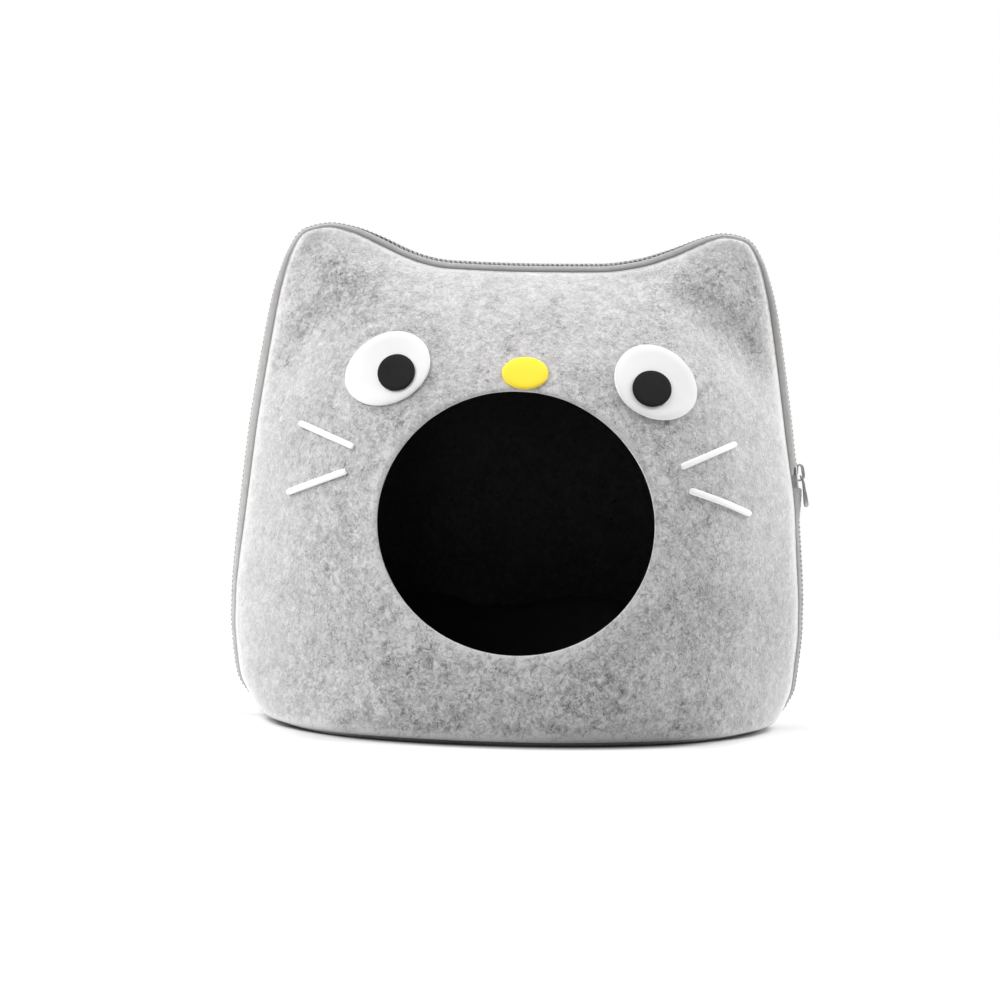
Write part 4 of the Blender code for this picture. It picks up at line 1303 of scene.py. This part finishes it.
def all_looks():
    """The materials of all pieces, by short name."""
    dark, light = grey(0.09, FELT_TINT), grey(0.61, FELT_TINT)
    inside = {"contrast": 0.5, "sheen": 0.02, "hollow": True}
    return {
        "felt": felt_look("grey felt", dark, light, sheen=1.0, rim_highlight=0.40, under_shade=UNDER_SHADE_COLOUR),
        "inside": felt_look("dark inner felt", grey(0.04), grey(0.17), **inside),
        "white": smooth_felt_look("white felt", WHITE, WHITE_SHADE, shaded_above=WHITE_SHADED_ABOVE),
        "black": smooth_felt_look("black felt", BLACK, BLACK_SHADE, sheen=0.02),
        "yellow": smooth_felt_look("yellow felt", YELLOW, YELLOW_SHADE, sheen=0.1),
        "tape": tape_look(),
        "teeth": teeth_look("zip coil", grey(0.24), grey(0.34)),
        "cord": teeth_look("coil cord", grey(0.24), grey(0.32)),
        "mat": mat_look(),
        "metal": metal_look(),
    }


# ---- stage, light and camera


FLOOR_RADIUS = 0.95
PLAN_SIZE = (0.175, 0.138)  # half width and half depth of the cave's plan
FLOOR_SHADOW_NEAR = (1.0, 1.5)  # painted shadow: the floor is painted darker near the cave, between these multiples of its plan
FLOOR_SHADOW_BESIDE_X = (0.12, 0.18)  # more so in front than beside it
# A painted contact shadow: the dark line where the cave touches the floor in front. Its half width,
# the power of its curve, its depth at the middle, how far it fades, and where it ends towards the
# sides
CONTACT_SHADOW_HALF_WIDTH = 0.170
CONTACT_SHADOW_POWER = 2.1
CONTACT_SHADOW_DEPTH = 0.143
CONTACT_SHADOW_FADE = 0.015
CONTACT_SHADOW_END_X = (0.10, 0.15)


def add_floor():
    """A pale round floor with painted shadow near the cave and a painted contact shadow line in
    front of it.
    """
    mesh = bmesh.new()
    bmesh.ops.create_circle(mesh, cap_ends=True, segments=96, radius=FLOOR_RADIUS)
    data = bpy.data.meshes.new("floor")
    mesh.to_mesh(data)
    mesh.free()
    floor = add_object("floor", data)
    look = Looks("pale floor")
    across, deep = (
        look.math("POWER", look.math("DIVIDE", axis, size), 2.0)
        for axis, size in zip((look.x, look.y), PLAN_SIZE)
    )
    away = look.math("SQRT", look.math("ADD", across, deep))
    beside = look.math("ABSOLUTE", look.x)
    # Painted shadow on the floor round the cave.
    near = look.mix(look.span(beside, *FLOOR_SHADOW_BESIDE_X, smooth=True), grey(0.56), grey(0.84))
    colour = look.mix(look.span(away, *FLOOR_SHADOW_NEAR, smooth=True), near, grey(0.88))
    # Painted contact shadow in front of the cave.
    line = look.math("POWER", look.math("DIVIDE", beside, CONTACT_SHADOW_HALF_WIDTH), CONTACT_SHADOW_POWER)
    line = look.math("POWER", look.math("SUBTRACT", 1.0, line, clamp=True), 1 / CONTACT_SHADOW_POWER)
    line = look.times_plus(line, CONTACT_SHADOW_DEPTH, look.y)
    dark = look.span(line, 0.0, -CONTACT_SHADOW_FADE, 1.0, 0.0)
    dark = look.times(dark, look.span(beside, *CONTACT_SHADOW_END_X, 1.0, 0.0, smooth=True))
    data.materials.append(look.finish(look.mix(dark, colour, grey(0.08)), 0.9, specular=0.1))


SURROUND = 0.16
SOFTBOX_SIZE = 0.9
SOFTBOX_DISTANCE = 1.9
LIT_MIDDLE = Vector((0.0, 0.0, 0.18))
# name: (degrees round from the front to the right, degrees up, power)
SOFTBOXES = {
    "key": (-65, 45, 24.0),
    "left_high": (-105, 45, 14.0),
    "left_low": (-105, 12, 9.0),
    "right_low": (105, 12, 9.5),
    "right_high": (100, 46, 31.0),
    "top": (0, 88, 13.8),
}


def add_softbox(name, around, up, power):
    """A square light that faces the cave's middle."""
    data = bpy.data.lights.new(name, "AREA")
    data.shape = "RECTANGLE"
    data.size = data.size_y = SOFTBOX_SIZE
    data.energy = power
    light = add_object(name, data)
    light.visible_camera = False
    around, up = math.radians(around), math.radians(up)
    level = math.cos(up) * SOFTBOX_DISTANCE
    place = Vector((level * math.sin(around), -level * math.cos(around), 0.0))
    place.z = SOFTBOX_DISTANCE * math.sin(up)
    light.location = place + LIT_MIDDLE
    light.rotation_euler = (-place).to_track_quat("-Z", "Y").to_euler()


def add_light():
    """A surround that looks white and lights weakly, and the softboxes."""
    world = bpy.data.worlds.new("white surround")
    bpy.context.scene.world = world
    world.use_nodes = True
    tree = world.node_tree
    background = tree.nodes["Background"]
    background.inputs["Color"].default_value = (1.0, 1.0, 1.0, 1.0)
    path = tree.nodes.new("ShaderNodeLightPath")
    strength = tree.nodes.new("ShaderNodeMapRange")
    tree.links.new(path.outputs["Is Camera Ray"], strength.inputs["Value"])
    strength.inputs["To Min"].default_value = SURROUND
    strength.inputs["To Max"].default_value = 1.0
    tree.links.new(strength.outputs["Result"], background.inputs["Strength"])
    for name, (around, up, power) in SOFTBOXES.items():
        add_softbox(name, around, up, power)


# The photo's view: a long lens a little above the cave's middle. Its length, and how far the cave's
# axis and the level line lie off the picture's middle, are in pixels of the photo.
CAMERA_PLACE = (0.01, -1.70, 0.20)
CAMERA_ROLL = 1.35  # degrees
SENSOR_WIDTH = 36.0  # mm
PHOTO_PX = 1000.0
LENS_PX = 2414.0
AIM_ASIDE_PX = 19.2
AIM_DOWN_PX = 62.7


def add_camera():
    """The camera at the photo's viewpoint, turned slightly."""
    data = bpy.data.cameras.new("camera")
    data.sensor_width = SENSOR_WIDTH
    data.lens = SENSOR_WIDTH * LENS_PX / PHOTO_PX
    camera = add_object("camera", data)
    bpy.context.scene.camera = camera
    turn = math.atan2(CAMERA_PLACE[0], -CAMERA_PLACE[1]) + math.atan2(AIM_ASIDE_PX, LENS_PX)
    down = math.atan2(AIM_DOWN_PX, LENS_PX)
    aim = (
        Matrix.Rotation(turn, 4, "Z")
        @ Matrix.Rotation(math.pi / 2 - down, 4, "X")
        @ Matrix.Rotation(math.radians(CAMERA_ROLL), 4, "Z")
    )
    camera.matrix_world = Matrix.Translation(Vector(CAMERA_PLACE)) @ aim


def main():
    """Build all pieces, the floor, the light and the camera."""
    looks = all_looks()
    felt = [looks["felt"], looks["inside"]]
    add_shell("front_shell", "felt_front", FRONT, True, felt)
    add_shell("back_shell", "felt_back", BACK, False, felt)
    add_zip(looks)
    add_face(looks)
    add_mat(looks)
    add_floor()
    add_light()
    add_camera()
    bpy.context.scene.view_settings.view_transform = "Standard"
    bpy.context.scene.view_settings.look = "None"


main()
